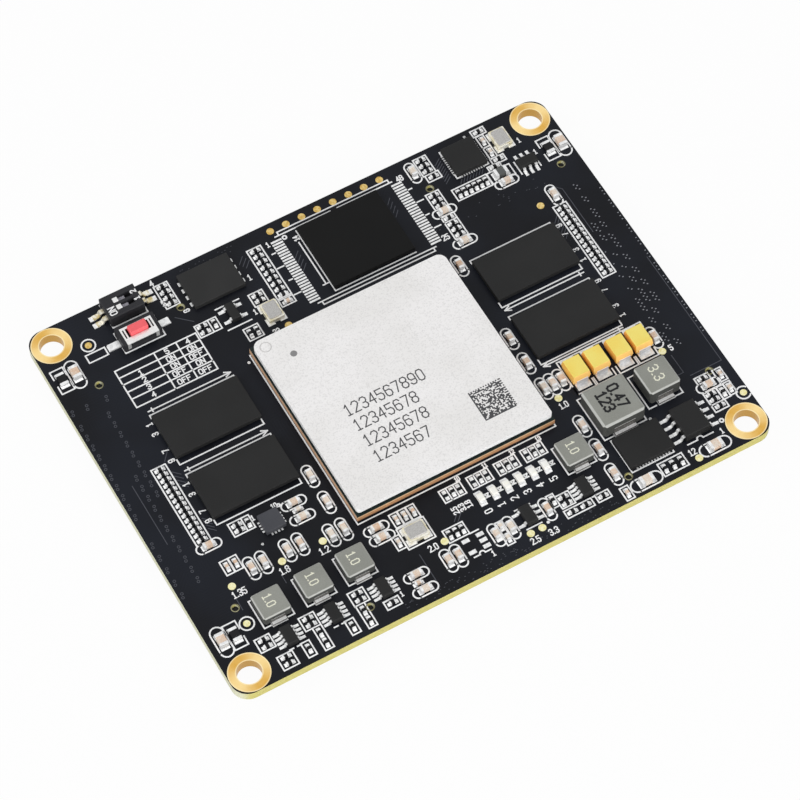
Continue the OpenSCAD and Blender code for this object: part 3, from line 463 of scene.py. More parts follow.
finishes.update({
    "chip_black": filled_finish("memory_resin", "#252525", "#1f1f1f", 0.62, 0.08, 0.004),
    "chip_grey": filled_finish("clock_resin", "#4c4d52", "#434449", 0.5, 0.08, 0.003),
    "choke_grey": choke_finish(),
    "tantalum_yellow": tantalum_finish(),
    "resistor_black": filled_finish("resistor_glass", "#1b1b1d", "#111113", 0.35, 0.1, 0.003),
    "capacitor_beige": filled_finish("capacitor_ceramic", "#f2ece1", "#e0b694", 0.45, 0.15, 0.004,
                                     None, 2.6),
    "ferrite": filled_finish("bead_ferrite", "#666867", "#565857", 0.5, 0.1, 0.004),
    "led_white": filled_finish("lamp_base", "#ffffff", "#f6f5ee", 0.5, 0.2, 0.002),
    "led_lens": filled_finish("lamp_lens", "#ffffff", "#fffdf2", 0.25, 0.4, 0.002,
                              {"Coat Weight": 0.4}),
    "switch_black": filled_finish("switch_plastic", "#2f2f32", "#28282b", 0.55, 0.1, 0.004),
    "slider_white": slider_finish(),
    "button_red": filled_finish("button_plastic", "#ff7278", "#f8656c", 0.4, 0.25, 0.003),
    "connector_black": filled_finish("connector_plastic", "#1e1e20", "#171719", 0.55, 0.1, 0.004),
    "silicon": filled_finish("bare_silicon", "#4a4e56", "#3b3f46", 0.2, 0.3, 0.001,
                             {"Metallic": 0.6}),
})
own["storage_chip"] = filled_finish("storage_resin", "#0e0e0e", "#0a0a0a", 0.6, 0.07, 0.003,
                                    {"Specular IOR Level": 0.14})
own["boot_flash"] = filled_finish("flash_resin", "#2e2e2e", "#282828", 0.62, 0.08, 0.004)
print(len(finishes) + len(own), "finishes so far")

# %% [markdown]
# ## Processor package
# The lid is nickel-plated copper, bead-blasted to a pale warm grey with a fine speckle and faint stains, and
# its sides are painted pure white as a painted highlight. The substrate below it shows its build-up from the
# side:
# copper-brown core, a pale band high up, a dark green top painted as shade under the lid's edge, and a dark
# green mask on the narrow ledge around the lid, darkened as painted shade; sides facing along x are painted
# paler as painted light. Height above the board picks the layer.

# %% Lid and substrate
def lid_finish():
    f = Finish("blasted_nickel", {"Specular IOR Level": 0.4})
    speck, stain, up = f.noise(0.22, 2), f.noise(9, 2), f.facing()[2].band(0.6, 0.95)
    shade = f.mix(stain.band(0.35, 0.7), "#faf8f7", "#f3f1ef")
    shade = f.mix(speck.band(0.45, 0.72) * 0.4, shade, "#cbc9c7")
    # Painted highlight: faces that don't face up are pure white and not metallic.
    return f.wear(base_color=f.mix(up, "#ffffff", shade), metallic=up * 0.2,
                  roughness=0.42 + (speck - 0.5) * 0.3, normal=f.bump(speck, 0.01))


def substrate_finish():
    f = Finish("package_substrate", {"Specular IOR Level": 0.3})
    low, high = (corner.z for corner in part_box("processor_substrate"))
    height = (f.parts(f.spot)[2] - low) * (1 / (high - low))
    core = f.mix(f.noise(0.8, 3, (1, 1, 4)).band(0.35, 0.65), "#cf9a6e", "#b8865c")
    side = f.mix(height.band(0.62, 0.66) * (1 - height.band(0.76, 0.8)), core, "#e8c8a0")
    side = f.mix(1 - height.band(0.12, 0.2), side, "#7d5a40")
    # Painted shade: the top of the side is dark green, a thicker dark line under the lid's edge.
    side = f.mix(height.band(0.8, 0.84), side, "#14241f")
    # Partly painted shade: the ledge is the dark green mask, darkened further for the shade under the lid.
    ledge = f.mix(f.noise(0.6, 2).band(0.4, 0.6), "#12211f", "#0c1817")
    side_x, _, up = f.facing()
    # Painted light: sides facing along x are paler.
    side = f.mix(side_x.band(0.3, 0.7) * 0.45, side, "#e6c2a4")
    return f.wear(base_color=f.mix(up.band(0.3, 0.7), side, ledge), roughness=0.55 + f.noise(0.3) * 0.15)


finishes.update({"lid_metal": lid_finish(), "substrate": substrate_finish()})
for name, node in nodes.items():
    slot = node.material_slots[0]
    slot.material = own.get(name) or finishes[slot.material.name.split(".")[0]]
print("finishes on", len(nodes), "nodes")

# %% [markdown]
# ## Soft edges
# No moulded or stamped edge is truly sharp, and the thin bright line along it is what makes a part look real.
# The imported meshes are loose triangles, so a Weld joins them first and a Bevel then rounds every edge that
# turns by more than 30 degrees.

# %% Rounded edges
EDGES = {"processor_lid": 0.12, "dip_housing": 0.06, "reset_button": 0.1, "reset_cover": 0.04}
EDGES.update({f"choke_{i}": 0.09 for i in range(1, 5)})
EDGES.update({"core_supply_choke": 0.12, "input_supply_choke": 0.1})
EDGES.update({f"tantalum_{i}": 0.07 for i in range(1, 5)})
EDGES.update({f"dip_slider_{i}": 0.05 for i in range(1, 3)})
for name, width in EDGES.items():
    weld = nodes[name].modifiers.new("join_triangles", "WELD")
    weld.merge_threshold = 0.002 * MM
    bevel = nodes[name].modifiers.new("soft_edges", "BEVEL")
    bevel.width, bevel.segments, bevel.angle_limit = width * MM, 2, math.radians(30)
    bevel.limit_method, bevel.harden_normals = "ANGLE", True
print("soft edges on", len(EDGES), "nodes")

# %% [markdown]
# ## Drawing with strokes
# Screen print, etched marks and tracks are all strokes of one width. A stroke is a flat bar with square ends,
# so a drawing is an array of segments (x0, y0, x1, y1) in millimetres, and one function turns the whole
# array into bars. Frames, rings, pills and digits are only ways to list segments.

# %% Strokes
def path(*points):
    """Segments that join the points in turn."""
    p = np.array(points, float)
    return np.hstack([p[:-1], p[1:]])


def frame_of(x0, y0, x1, y1):
    """The four sides of a rectangle."""
    return path((x0, y0), (x1, y0), (x1, y1), (x0, y1), (x0, y0))


def arc(x, y, r, start=0.0, end=360.0, count=20):
    """Segments along a circle: points at equal angles from start to end, in degrees."""
    a = np.radians(np.linspace(start, end, count + 1))
    return path(*np.column_stack([x + r * np.cos(a), y + r * np.sin(a)]))


def turned(segments, x, y, angle):
    """The segments turned about the origin by an angle in degrees and moved to (x, y)."""
    c, s = math.cos(math.radians(angle)), math.sin(math.radians(angle))
    p = segments.reshape(-1, 2) @ np.array([[c, s], [-s, c]]) + (x, y)
    return p.reshape(-1, 4)


def pill(x, y, length, width, angle):
    """Two straight sides and two half circles around a part that lies along the angle."""
    r, h = width / 2, length / 2 - width / 2
    sides = np.vstack([path((-h, r), (h, r)), path((-h, -r), (h, -r)),
                       arc(h, 0, r, -90, 90, 10), arc(-h, 0, r, 90, 270, 10)])
    return turned(sides, x, y, angle)


GLYPHS = {
    "0": [[(0, 1), (0, 5), (1, 6), (3, 6), (4, 5), (4, 1), (3, 0), (1, 0), (0, 1)]],
    "1": [[(0.8, 4.8), (2.2, 6), (2.2, 0)], [(0.8, 0), (3.6, 0)]],
    "2": [[(0, 5), (1, 6), (3, 6), (4, 5), (4, 4), (0, 0), (4, 0)]],
    "3": [[(0, 5), (1, 6), (3, 6), (4, 5), (4, 4), (3, 3), (4, 2), (4, 1), (3, 0), (1, 0), (0, 1)],
          [(1.5, 3), (3, 3)]],
    "4": [[(3, 0), (3, 6), (0, 2), (4, 2)]],
    "5": [[(4, 6), (0, 6), (0, 3.5), (3, 3.5), (4, 2.5), (4, 1), (3, 0), (1, 0), (0, 1)]],
    "6": [[(4, 5), (3, 6), (1, 6), (0, 5), (0, 1), (1, 0), (3, 0), (4, 1), (4, 2.5), (3, 3.5), (0, 3.5)]],
    "7": [[(0, 6), (4, 6), (1.5, 0)]],
    "8": [[(1, 3.2), (0, 4), (0, 5), (1, 6), (3, 6), (4, 5), (4, 4), (3, 3.2), (1, 3.2), (0, 2.2), (0, 1),
           (1, 0), (3, 0), (4, 1), (4, 2.2), (3, 3.2)]],
    "9": [[(0, 1), (1, 0), (3, 0), (4, 1), (4, 5), (3, 6), (1, 6), (0, 5), (0, 3.5), (1, 2.5), (4, 2.5)]],
    "N": [[(0, 0), (0, 6), (4, 0), (4, 6)]],
    "F": [[(4, 6), (0, 6), (0, 0)], [(0, 3), (3, 3)]],
    ".": [[(0.2, 0.2), (0.8, 0.2)]],
}
GLYPHS["O"] = GLYPHS["0"]
WIDE, HIGH, STEP, POINT_STEP = 4, 6, 5.8, 2.9  # grid of a figure, and the way to the next


def writing(text, x, y, height, angle=0.0, narrow=0.8):
    """Digits, or ON and OFF, as strokes on a grid 4 wide and 6 high, centred on (x, y) and narrowed."""
    start = np.cumsum([0] + [POINT_STEP if c == "." else STEP for c in text])
    strokes = [path(*line) + np.tile([left, 0], 2) for left, c in zip(start, text) for line in GLYPHS[c]]
    middle = np.tile([(start[-1] - STEP + WIDE) / 2, HIGH / 2], 2)
    return turned((np.vstack(strokes) - middle) * np.tile([narrow, 1], 2) * (height / HIGH), x, y, angle)


TOP_STEP = 0.004  # mm


def bars(segments, width, low, high):
    """Eight corners and six faces per segment: the ends are carried on by half a width.

    Bars that join or cross get tops at four heights in turn: faces that share a plane shade each other.
    """
    s = np.asarray(segments, float)
    step = s[:, 2:] - s[:, :2]
    along = step / np.maximum(np.linalg.norm(step, axis=1), 1e-9)[:, None] * (width / 2)
    side = np.column_stack([-along[:, 1], along[:, 0]])
    a, b = s[:, :2] - along, s[:, 2:] + along
    ring = np.stack([a - side, b - side, b + side, a + side], axis=1)
    tops = high + TOP_STEP * (np.arange(len(s)) % 4)
    z = np.broadcast_to(np.column_stack([np.full(len(s), low), tops])[:, :, None, None], (len(s), 2, 4, 1))
    corners = np.concatenate([np.broadcast_to(ring[:, None], (len(s), 2, 4, 2)), z], axis=3).reshape(-1, 3)
    box = np.array([(3, 2, 1, 0), (4, 5, 6, 7), (0, 1, 5, 4), (1, 2, 6, 5), (2, 3, 7, 6), (3, 0, 4, 7)])
    faces = (box[None] + 8 * np.arange(len(s))[:, None, None]).reshape(-1, 4)
    return corners, faces


def piece(name, corners, faces, finish, slot=None):
    """A mesh object at the origin, with its place in its corners (mm), that rides on the module."""
    mesh = bpy.data.meshes.new(name)
    mesh.from_pydata((np.asarray(corners) * MM).tolist(), [], [face.tolist() for face in faces])
    mesh.materials.append(finish)
    made = bpy.data.objects.new(name, mesh)
    bpy.context.collection.objects.link(made)
    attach(made, "module")
    print(name, len(mesh.polygons), "faces")


# %% [markdown]
# ## Boxes of the small parts
# The screen print follows the parts, so it is placed from them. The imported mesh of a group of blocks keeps
# each block's 24 corners together, and the lowest and highest corner of each group is its box.

# %% Where the small parts are
def blocks(name):
    """Middle (x, y), size (x, y, z) and top of each block of a node, in mm: an array of boxes."""
    mesh = nodes[name].data
    flat = np.empty(3 * len(mesh.vertices), np.float32)
    mesh.vertices.foreach_get("co", flat)
    corners = flat.reshape(-1, 24, 3) / MM
    low, high = corners.min(axis=1), corners.max(axis=1)
    return np.column_stack([(low + high)[:, :2] / 2, high - low, high[:, 2]])


caps = blocks("chip_end_caps").reshape(-1, 2, 6)  # two end caps per part
gap = caps[:, 0, :2] - caps[:, 1, :2]
upright = np.abs(gap[:, 1]) > np.abs(gap[:, 0])
thick = np.where(upright, caps[:, 0, 3], caps[:, 0, 2])
wide = np.where(upright, caps[:, 0, 2], caps[:, 0, 3])
# Rows of x, y, angle, length, width, height
chips = np.column_stack([caps[:, :, :2].mean(axis=1), np.where(upright, 90.0, 0.0),
                         np.linalg.norm(gap, axis=1) + thick, wide, caps[:, 0, 4]])


def parts_of(name):
    """The rows of chips whose middle is the middle of a body of this node."""
    bodies = blocks(name)[:, :2]
    near = np.linalg.norm(chips[:, None, :2] - bodies[None], axis=2).min(axis=1)
    return chips[near < 0.1]


capacitors, resistors = parts_of("capacitor_bodies"), parts_of("resistor_bodies")
for name, parts in (("capacitors", capacitors), ("resistors", resistors)):
    lengths, counts = np.unique(np.round(parts[:, 3], 1), return_counts=True)
    print(name, "by length in mm:", dict(zip(lengths.tolist(), counts.tolist())))

# %% [markdown]
# ## Screen print
# White ink, about a fifth of a millimetre wide and a few hundredths thick: pills around the capacitors,
# frames around the small resistors, brackets around chips and chokes, rings around the sighting marks, a
# table of the slide switch's positions, and numbers.

# %% Frames around groups of small resistors
FRAMES = [
    (33.76, 0.56, 35.9, 14.4), (-35.94, -9.1, -33.74, 4.5), (-21.95, 26.7, -19.85, 30.9),
    (-7.7, 20.3, -5.5, 29.65), (-7.7, 18.85, -5.5, 20.05), (-11, 20.75, -8.85, 23),
    (-20, 20.05, -17.9, 22.2), (-17.9, 20.05, -16.65, 22.2), (-14.3, 16.15, -12.05, 18.3),
    (20.4, 28.25, 22.45, 31.5), (20.6, 27, 22.75, 28.25), (19, 22.25, 21.1, 25.3),
    (19.05, 16.6, 21.1, 19.8), (19.05, 19.8, 21.1, 20.9), (22.7, 22.1, 28.35, 24.2),
    (30.05, 30.6, 32.15, 31.75), (30.25, 28.3, 31.45, 30.5), (30.25, 26.15, 31.45, 28.25),
    (30.15, 25, 32.3, 26.1), (29.1, 24.15, 31.1, 25.1), (28.45, 22.15, 32.15, 24.15),
    (-30.8, -10.4, -28.8, -8.2), (-28.8, -10.4, -27.65, -8.2), (-34.5, -15.1, -33.3, -12.8),
    (-33.2, -15.1, -32, -12.8), (-36, -27.7, -33.8, -25.55), (-34.6, -31.5, -32.3, -29.3),
    (-30.85, -31.45, -29.6, -29.05), (-29.35, -27.8, -27.1, -25.6), (-28.4, -31.6, -27.1, -27.8),
    (-24.2, -31.4, -22.9, -29.05), (-21.9, -27.8, -19.6, -25.6), (-21.8, -31.6, -20.5, -27.8),
    (-18.3, -30.45, -16.1, -29.1), (-12.65, -23.3, -11.4, -21.1), (-11.35, -23.85, -7.2, -20.3),
    (-6.1, -25.7, -3, -23.6), (0.55, -29.95, 1.7, -26.1), (8.75, -28.05, 9.8, -25.95),
    (9.8, -28.75, 11.85, -26.6), (9.7, -30.4, 13.95, -29.15), (14.6, -30.35, 16.65, -29.1),
    (18.05, -32.05, 19.3, -29.9), (24.5, -31.35, 28.35, -29.2), (36.05, -21.15, 38.2, -20.05),
    (38.9, -22.3, 40.2, -20.15), (35.85, -24.9, 37.9, -22.75), (37.95, -24.9, 39.05, -22.75),
    (39.1, -24.8, 40.15, -22.65), (35.85, -26.15, 38, -24.9), (-35.4, 24.15, -32.45, 25.5),
]
FRAMES += [(x - 0.6, -20.1, x + 0.6, -17.85) for x in (-10.6, -9.3, -8)]
BANKS, BANK_LOW, BANK_HIGH = (-1.85, 2.45, 6.75, 10.95), -20.05, -18  # three resistors in each bank
ink = [frame_of(*f) for f in FRAMES] + [frame_of(x - 1.65, BANK_LOW, x + 1.65, BANK_HIGH) for x in BANKS]
ink += [path((x + s, BANK_LOW), (x + s, BANK_HIGH)) for x in BANKS for s in (-0.55, 0.55)]
print(len(FRAMES) + len(BANKS), "frames")

# %% Pills around capacitors, open frames around the large resistors, brackets around the chokes
PILL = {1.6: (3.7, 1.47), 2.0: (4.8, 1.9)}  # length and width of the pill for a part of this length
SMALL = 1.2  # parts up to this length have plain frames instead
OPEN = [path((s * 0.65, 0.98), (s * 2, 0.98), (s * 2, -0.98), (s * 0.65, -0.98)) for s in (-1, 1)]
for x, y, angle, length in capacitors[capacitors[:, 3] > SMALL, :4]:
    ink.append(pill(x, y, *PILL[round(length, 1)], angle))
for x, y, angle in resistors[resistors[:, 3] > SMALL, :3]:
    ink += [turned(half, x, y, angle) for half in OPEN]


def bracket(x0, y0, x1, y1, gap):
    """A frame whose lower and upper sides are open in the middle, where the terminals are."""
    middle = (x0 + x1) / 2
    left, right = middle - gap / 2, middle + gap / 2
    return [path((near, y0), (x, y0), (x, y1), (near, y1)) for near, x in ((left, x0), (right, x1))]


CHOKES = [(-33.9, -24.65, -29.35, -20), (-27.35, -24.65, -22.9, -20), (-21.05, -24.65, -16.6, -20),
          (13.25, -24.55, 17.7, -19.9), (20.3, -22.35, 27, -14.9), (28.2, -21.1, 33.65, -15.35)]
OPEN_SHARE = 0.58  # of a bracket's side
for x0, y0, x1, y1 in CHOKES:
    ink += bracket(x0, y0, x1, y1, (x1 - x0) * OPEN_SHARE)
ink += [
    path((-29.9, 28.6), (-29.9, 27.7), (-24.45, 27.7), (-24.45, 28.6)),  # slide switch
    path((-29.9, 31.0), (-29.9, 32.0)), path((-24.45, 31.0), (-24.45, 32.0)),
    path((-30.25, 24.1), (-30.25, 23.06), (-24.05, 23.06), (-24.05, 24.1)),  # reset switch
    path((-30.25, 25.9), (-30.25, 26.8)), path((-24.05, 25.9), (-24.05, 26.8))]
print("pills and brackets")

# %% Outlines of the processor and the memory
ink.append(frame_of(-15.45, -17.0, 15.65, 14.1))
MEMORY_X, HALF = 25.5, 6.55  # middle of the memory columns and half an outline's length
for x in (-MEMORY_X, MEMORY_X):
    left, right = x - HALF, x + HALF
    for low, high in ((3.36, 12.4), (-7.5, 1.57)):
        ink += [path((left, high - 0.5), (left, high), (right, high), (right, high - 0.5)),
                path((left, low + 0.9), (left, low), (right, low), (right, low + 0.9))]


def arrow(x, y, way):
    """A line with a tip at one end and a short cross stroke near the other; way is 1 or -1."""
    tip, barb, tail = x + way * 6.4, x + way * 5.6, x - way * 5.8
    return [path((x - 6.4, y), (x + 6.4, y)), path((barb, y + 0.4), (tip, y), (barb, y - 0.4)),
            path((tail, y - 0.3), (tail, y + 0.3))]


for x, y, way in ((-MEMORY_X, 13.07, 1), (-MEMORY_X, 2.18, 1), (MEMORY_X, 2.76, -1), (MEMORY_X, -7.9, -1)):
    ink += arrow(x, y, way)
print("processor and memory outlined")

# %% Outlines of the wide footprint and the other chips
ink += [path((-2.4, 29.8), (-2.4, 30.4), (15.6, 30.4), (15.6, 29.8)), path((-3, 29.8), (5.9, 29.8)),
        path((7.1, 29.8), (16, 29.8)), path((-3, 16.95), (16, 16.95)),
        path((0.1, 29.25), (0.1, 17.55), (13.1, 17.55)),
        path((-2.4, 16.95), (-2.4, 16.35), (15.6, 16.35), (15.6, 16.95)),
        path((-0.5, 27.3), (-0.5, 19.25)), path((-0.95, 19.25), (-0.05, 19.25)),
        arc(-1.86, 29.1, 0.28, count=12)]
TALLY = ((27.4, 0.5), (24.9, 1.0), (22.35, 0.5), (19.85, 1.0))  # y and reach of the marks that count lands
ink += [path((x, y), (x + s * reach, y)) for x, s in ((-4.25, -1), (17.45, 1)) for y, reach in TALLY]
ink += [  # interface chip, supervisor, surge protector
    path((24.45, 26.2), (24.45, 25.6), (25.0, 25.6)), path((29.65, 26.2), (29.65, 25.6), (29.1, 25.6)),
    path((24.45, 30.2), (24.45, 30.8), (25.0, 30.8)), path((-16.1, 23.2), (-12.4, 23.2)),
    path((-16.1, 19.25), (-12.4, 19.25)), path((32.9, 21.6), (32.9, 23.95)),
    path((36.05, 21.6), (36.05, 23.95))]
ink += [  # power stage, load switch, tantalums
    path((21.5, -22.85), (20.95, -22.85), (20.95, -28.6), (27.6, -28.6), (27.6, -28.1)),
    path((29.8, -28.62), (31.35, -28.62)), path((32.25, -28.62), (33.85, -28.62)),
    arc(31.8, -28.62, 0.45, 0, 180, 8), path((20.9, -14.2), (20.9, -8.3), (34.45, -8.3), (34.45, -9.2))]
ink += [  # empty footprint and linear regulator
    path((-3, -25.75), (-1.7, -25.75)), path((-4.3, -29.25), (-3.4, -29.25)),
    path((-2.6, -29.25), (-1.7, -29.25)), arc(-3, -29.25, 0.4, 0, 180, 8), path((4.0, -29.1), (6.3, -29.1)),
    path((4.0, -25.75), (6.3, -25.75))]
ink += [path((x - 1.5, -12.9), (x - 1.5, -14.2), (x + 1.5, -14.2), (x + 1.5, -12.9))
        for x in (22.4, 25.65, 29.25, 32.5)]
ink += [path((x + s * 0.85, -29.15), (x + s * 0.3, -29.15))
        for x in (-31.65, -24.9, -17.25, 13.95) for s in (-1, 1)]
ink += [arc(-34.25, 26.85, 1.0), arc(-35.6, -22.8, 1.0),  # sighting marks
        arc(40.85, -25.3, 1.0, 42, 318)]  # this one is cut short at the board's edge
FIRST = ((-16.1, 13.15, 0.08), (28.93, 31.4, 0.07), (35.86, -27.6, 0.28), (-28.07, -13.2, 0.05),
         (27.5, -22.5, 0.08), (7.07, -29.5, 0.1), (-23.35, -8.95, 0.2))
ink += [arc(x, y, r, count=8) for x, y, r in FIRST]  # dots and rings at the first lands
print(sum(map(len, ink)), "strokes so far")

# %% Switch table
LEFT, RIGHT, LOW, HIGH_SIDE = -33, -20.3, 14.45, 21.2
ink += [frame_of(LEFT, LOW, RIGHT, HIGH_SIDE)]
ink += [path((x, LOW), (x, HIGH_SIDE)) for x in (-26.9, -23.44)]
ink += [path((LEFT, y), (RIGHT, y)) for y in (19.9, 18.64, 17.3, 16.0)]
ROWS = (20.55, 19.25, 17.97, 16.65, 15.2)
COLUMNS = ((-25.17, ("5", "ON", "ON", "OFF", "OFF"), ROWS), (-21.87, ("4", "ON", "OFF", "ON", "OFF"), ROWS),
           (-29.95, "1234", ROWS[1:]))
figures = [writing(a, x, y, 0.78, 0, 0.95) for x, entries, rows in COLUMNS for a, y in zip(entries, rows)]
print(len(figures), "entries in the table")

# %% Numbers
# Each row: text, x, y, height, angle
LEFT_Y = (11.1, 9.36, 6.3, 4.5, 0.2, -1.6, -4.65, -6.36)
RIGHT_Y = (11.3, 9.6, 6.57, 4.6, 0.5, -1.3, -4.3, -6.1)
NUMBERS = [(a, -32.75, y, 0.85, 90) for a, y in zip("13791379", LEFT_Y)]
NUMBERS += [(a, 32.9, y, 0.85, 90) for a, y in zip("97319731", RIGHT_Y)]
NUMBERS += [(str(10 + i), x, -17.52, 0.6, 0) for i, x in enumerate((-0.3, 4.0, 8.3, 12.5))]
NUMBERS += [(a, x, -21.7, 0.75, 90) for a, x in zip(("2.5", "3.3", "1.8"), (-2.95, -1.9, -0.85))]
LAMP_X, LAMP_PITCH = 0.95, 2.04
NUMBERS += [(str(i), LAMP_X + LAMP_PITCH * i, -24.0, 1.05, 90) for i in range(6)]
NUMBERS += [
    ("4", -21.9, 31.6, 0.95, 0), ("5", -21.9, 27.75, 0.95, 0), ("48", 17.25, 29.75, 0.85, 0),
    ("25", 18.0, 17.65, 0.85, 0), ("1", -4.55, 29.15, 0.8, 0), ("14", -0.5, 28.1, 0.7, 90),
    ("8", -19.65, 25.1, 0.8, 90), ("1", -9.4, 25.6, 0.9, 0), ("1.35", -34.3, -18.2, 0.95, 0),
    ("1.8", -27.4, -18.2, 0.95, 0), ("1.2", -21.3, -18.2, 0.95, 0), ("1.0", 18.3, -14.65, 0.85, 0),
    ("5", 36.0, -14.05, 0.85, 0), ("12", 29.7, -29.9, 0.9, 0), ("2.0", -8.35, -25.15, 0.9, 0),
    ("2.5", 4.2, -31.05, 0.9, 0), ("3.3", 7.05, -31.05, 0.9, 0), ("1", 35.0, -29.0, 0.8, 0),
    ("1", 35.45, 27.0, 0.8, 0), ("1", 36.5, 24.05, 0.75, 0), ("1", -11.4, 20.1, 0.8, 0),
    ("33", -10.3, 15.75, 0.8, 0), ("1", -1.75, -29.95, 0.8, 0), ("1", -27.35, -8.95, 0.75, 0),
    ("10", -23.95, -8.75, 0.7, 0), ("1", -15.5, -29.2, 0.7, 0)]
figures += [writing(*number, 0.68) for number in NUMBERS]
for x in 1.97 + LAMP_PITCH * np.arange(6):  # polarity marks beside the lamps
    ink += [path((x - 0.3, -21.5), (x + 0.3, -21.5), (x, -22.0), (x - 0.3, -21.5)),
            path((x - 0.3, -22.05), (x + 0.3, -22.05))]
print(len(NUMBERS), "numbers")


# %% Ink on the board
def ink_finish(name, colour, worn, rough):
    """Printed ink: its own colour with thin spots where a worn colour shows."""
    f = Finish(name, {"Specular IOR Level": 0.3})
    thin = f.noise(0.25, 3).band(0.62, 0.8)
    return f.wear(base_color=f.mix(thin * 0.5, colour, worn), roughness=rough + f.noise(0.5) * 0.1)


white_ink = ink_finish("white_screen_ink", "#fbfbfb", "#d9dadc", 0.55)
LINE, FIGURE, INK = 0.21, 0.165, 0.02  # width of lines, width of figures, thickness
piece("screen_print", *bars(np.vstack(ink), LINE, TOP, TOP + INK), white_ink)
piece("screen_numbers", *bars(np.vstack(figures), FIGURE, TOP, TOP + INK), white_ink)

# %% [markdown]
# ## Tracks and vias under the mask
# Here and there the copper shows through: rows of covered vias above the connectors, bundles of slanting
# tracks beside the memory and the edge of a copper plane. They are only a little paler than the mask.

# %% Covered copper
def bundle(x, y, dx, dy, count, step_x, step_y):
    """Parallel tracks from (x, y) by (dx, dy), each one a step on from the last."""
    start = np.array([x, y]) + np.arange(count)[:, None] * (step_x, step_y)
    return np.hstack([start, start + (dx, dy)])


def doubles(x, first, count, pitch=1.81):
    """Vias in twos, one above the other and a little aside: y steps by pitch from pair to pair."""
    y = first - pitch * np.arange(count)
    return np.vstack([np.column_stack([np.full(count, x - s * 0.07), y - s * 0.3]) for s in (-1, 1)])


def zigzag(x, y, rows):
    """Vias left and right in turn: each row 0.68 mm below the last, its right via 0.35 mm below its left."""
    left = np.column_stack([np.full(rows, x), y - 0.68 * np.arange(rows)])
    return np.vstack([left, left + (0.39, -0.35)])


def joined(*meshes):
    """One mesh of several: each one's face numbers are moved on by the corners before it."""
    before = np.cumsum([0] + [len(corners) for corners, _ in meshes])
    return (np.vstack([corners for corners, _ in meshes]),
            np.vstack([faces + count for (_, faces), count in zip(meshes, before)]))


tracks = np.vstack([
    bundle(33.55, 12.9, -0.9, -0.95, 6, 0, -0.62), bundle(23.9, 29.9, -1.1, -0.8, 8, -0.02, -0.5),
    bundle(25.0, 25.2, -0.5, -0.6, 8, 0.5, 0), bundle(-33.5, 2.9, 0.9, -0.9, 4, 0, -0.75),
    bundle(-33.6, 4.9, 1.6, 1.9, 1, 0, 0), bundle(-33.3, -5.6, 0.8, -0.8, 4, 0, -0.6),
    bundle(13.6, 24.2, 0.8, 0.9, 4, 0, 0.8), bundle(-2.2, 25.2, 0.9, 0.9, 4, 0, -0.8),
    bundle(-9.6, 28.2, 1.0, 1.0, 3, 0.3, -0.5), bundle(-21.6, 24.9, 2.0, -1.9, 1, 0, 0),
    bundle(-39.25, 3.6, 0, -10.4, 1, 0, 0), bundle(-35.1, -18.4, 0, -2.3, 1, 0, 0),
    bundle(-28.1, -18.6, 0, -1.4, 1, 0, 0), path((35.4, -15.2), (35.4, -18.4), (34.2, -18.4)),
    path((36.0, -19.3), (41.0, -19.3), (41.0, 0.5)), path((36.6, 8.0), (36.6, 16.5), (35.0, 18.2)),
    bundle(-10.5, -25.2, 0, -5.6, 1, 0, 0), bundle(-3.9, -23.1, 1.3, 1.3, 2, 0.4, -0.3),
])
print(len(tracks), "tracks")

# %% Vias
rings = np.vstack([
    doubles(-41.13, 18, 1), doubles(-41.13, 15.33, 10), doubles(-36.85, 15.35, 9), doubles(-35.93, 17.88, 1),
    doubles(-38.94, 17.91, 1), doubles(-38.18, 4.45, 11), doubles(-41.13, -6, 5, 2.2)])
GROUPS = {  # x of a column: top and rows of each group of vias
    38.33: ((16.3, 2), (13.9, 2), (11.5, 3), (8.9, 2), (6.47, 2), (4.92, 2), (2.52, 2), (0.04, 2), (-2.34, 2),
            (-4.79, 3)),
    37.15: ((9.3, 3), (6.9, 2), (3.3, 1), (0.9, 1), (-1.14, 2), (-3.52, 4), (-7.18, 2), (-10.3, 2),
            (-13.1, 2)),
    35.95: ((4.5, 1), (2.2, 1), (-0.3, 1), (-2.7, 1), (-4.75, 4), (-8.35, 2), (-11.2, 3)),
}
edge = np.arange(14, -14, -0.62)
edge = edge[np.arange(len(edge)) % 4 < 3]  # three and a gap along the right edge
dots = np.vstack([zigzag(x, y, rows) for x, groups in GROUPS.items() for y, rows in groups]
                 + [np.column_stack([np.full(len(edge), 41.37), edge])])
seed = np.random.default_rng(7)
STRAY = ((-16, 17, -32.0, -30.6, 110), (16, 36, 18.3, 20.6, 24), (-18, -8, 30.6, 31.7, 16))
stray = np.vstack([np.column_stack([seed.uniform(x0, x1, count), seed.uniform(y0, y1, count)])
                   for x0, x1, y0, y1, count in STRAY])
print(len(rings), "via rings,", len(dots) + len(stray), "via dots")

# %% Copper and vias as bars
def short_bars(places, length):
    """A level segment of this length at each place."""
    return np.column_stack([places - (length / 2, 0), places + (length / 2, 0)])


VIA_RADIUS, RING_WIDTH, DOT_WIDTH, TRACK_WIDTH = 0.19, 0.09, 0.15, 0.11
VIA_HIGH, TRACK_HIGH = 0.012, 0.01
copper_mask = ink_finish("mask_over_copper", "#484a51", "#33353b", 0.45)
bare_mask = ink_finish("mask_over_via", "#8b8d93", "#5b5d63", 0.45)
piece("via_dots", *bars(short_bars(dots, 0.06), DOT_WIDTH, TOP, TOP + VIA_HIGH), bare_mask, "solder_mask")
covered = np.vstack([arc(x, y, VIA_RADIUS, count=8) for x, y in rings] + [short_bars(stray, 0.1)])
piece("covered_copper", *joined(bars(covered, RING_WIDTH, TOP, TOP + VIA_HIGH),
                                bars(tracks, TRACK_WIDTH, TOP, TOP + TRACK_HIGH)), copper_mask, "solder_mask")

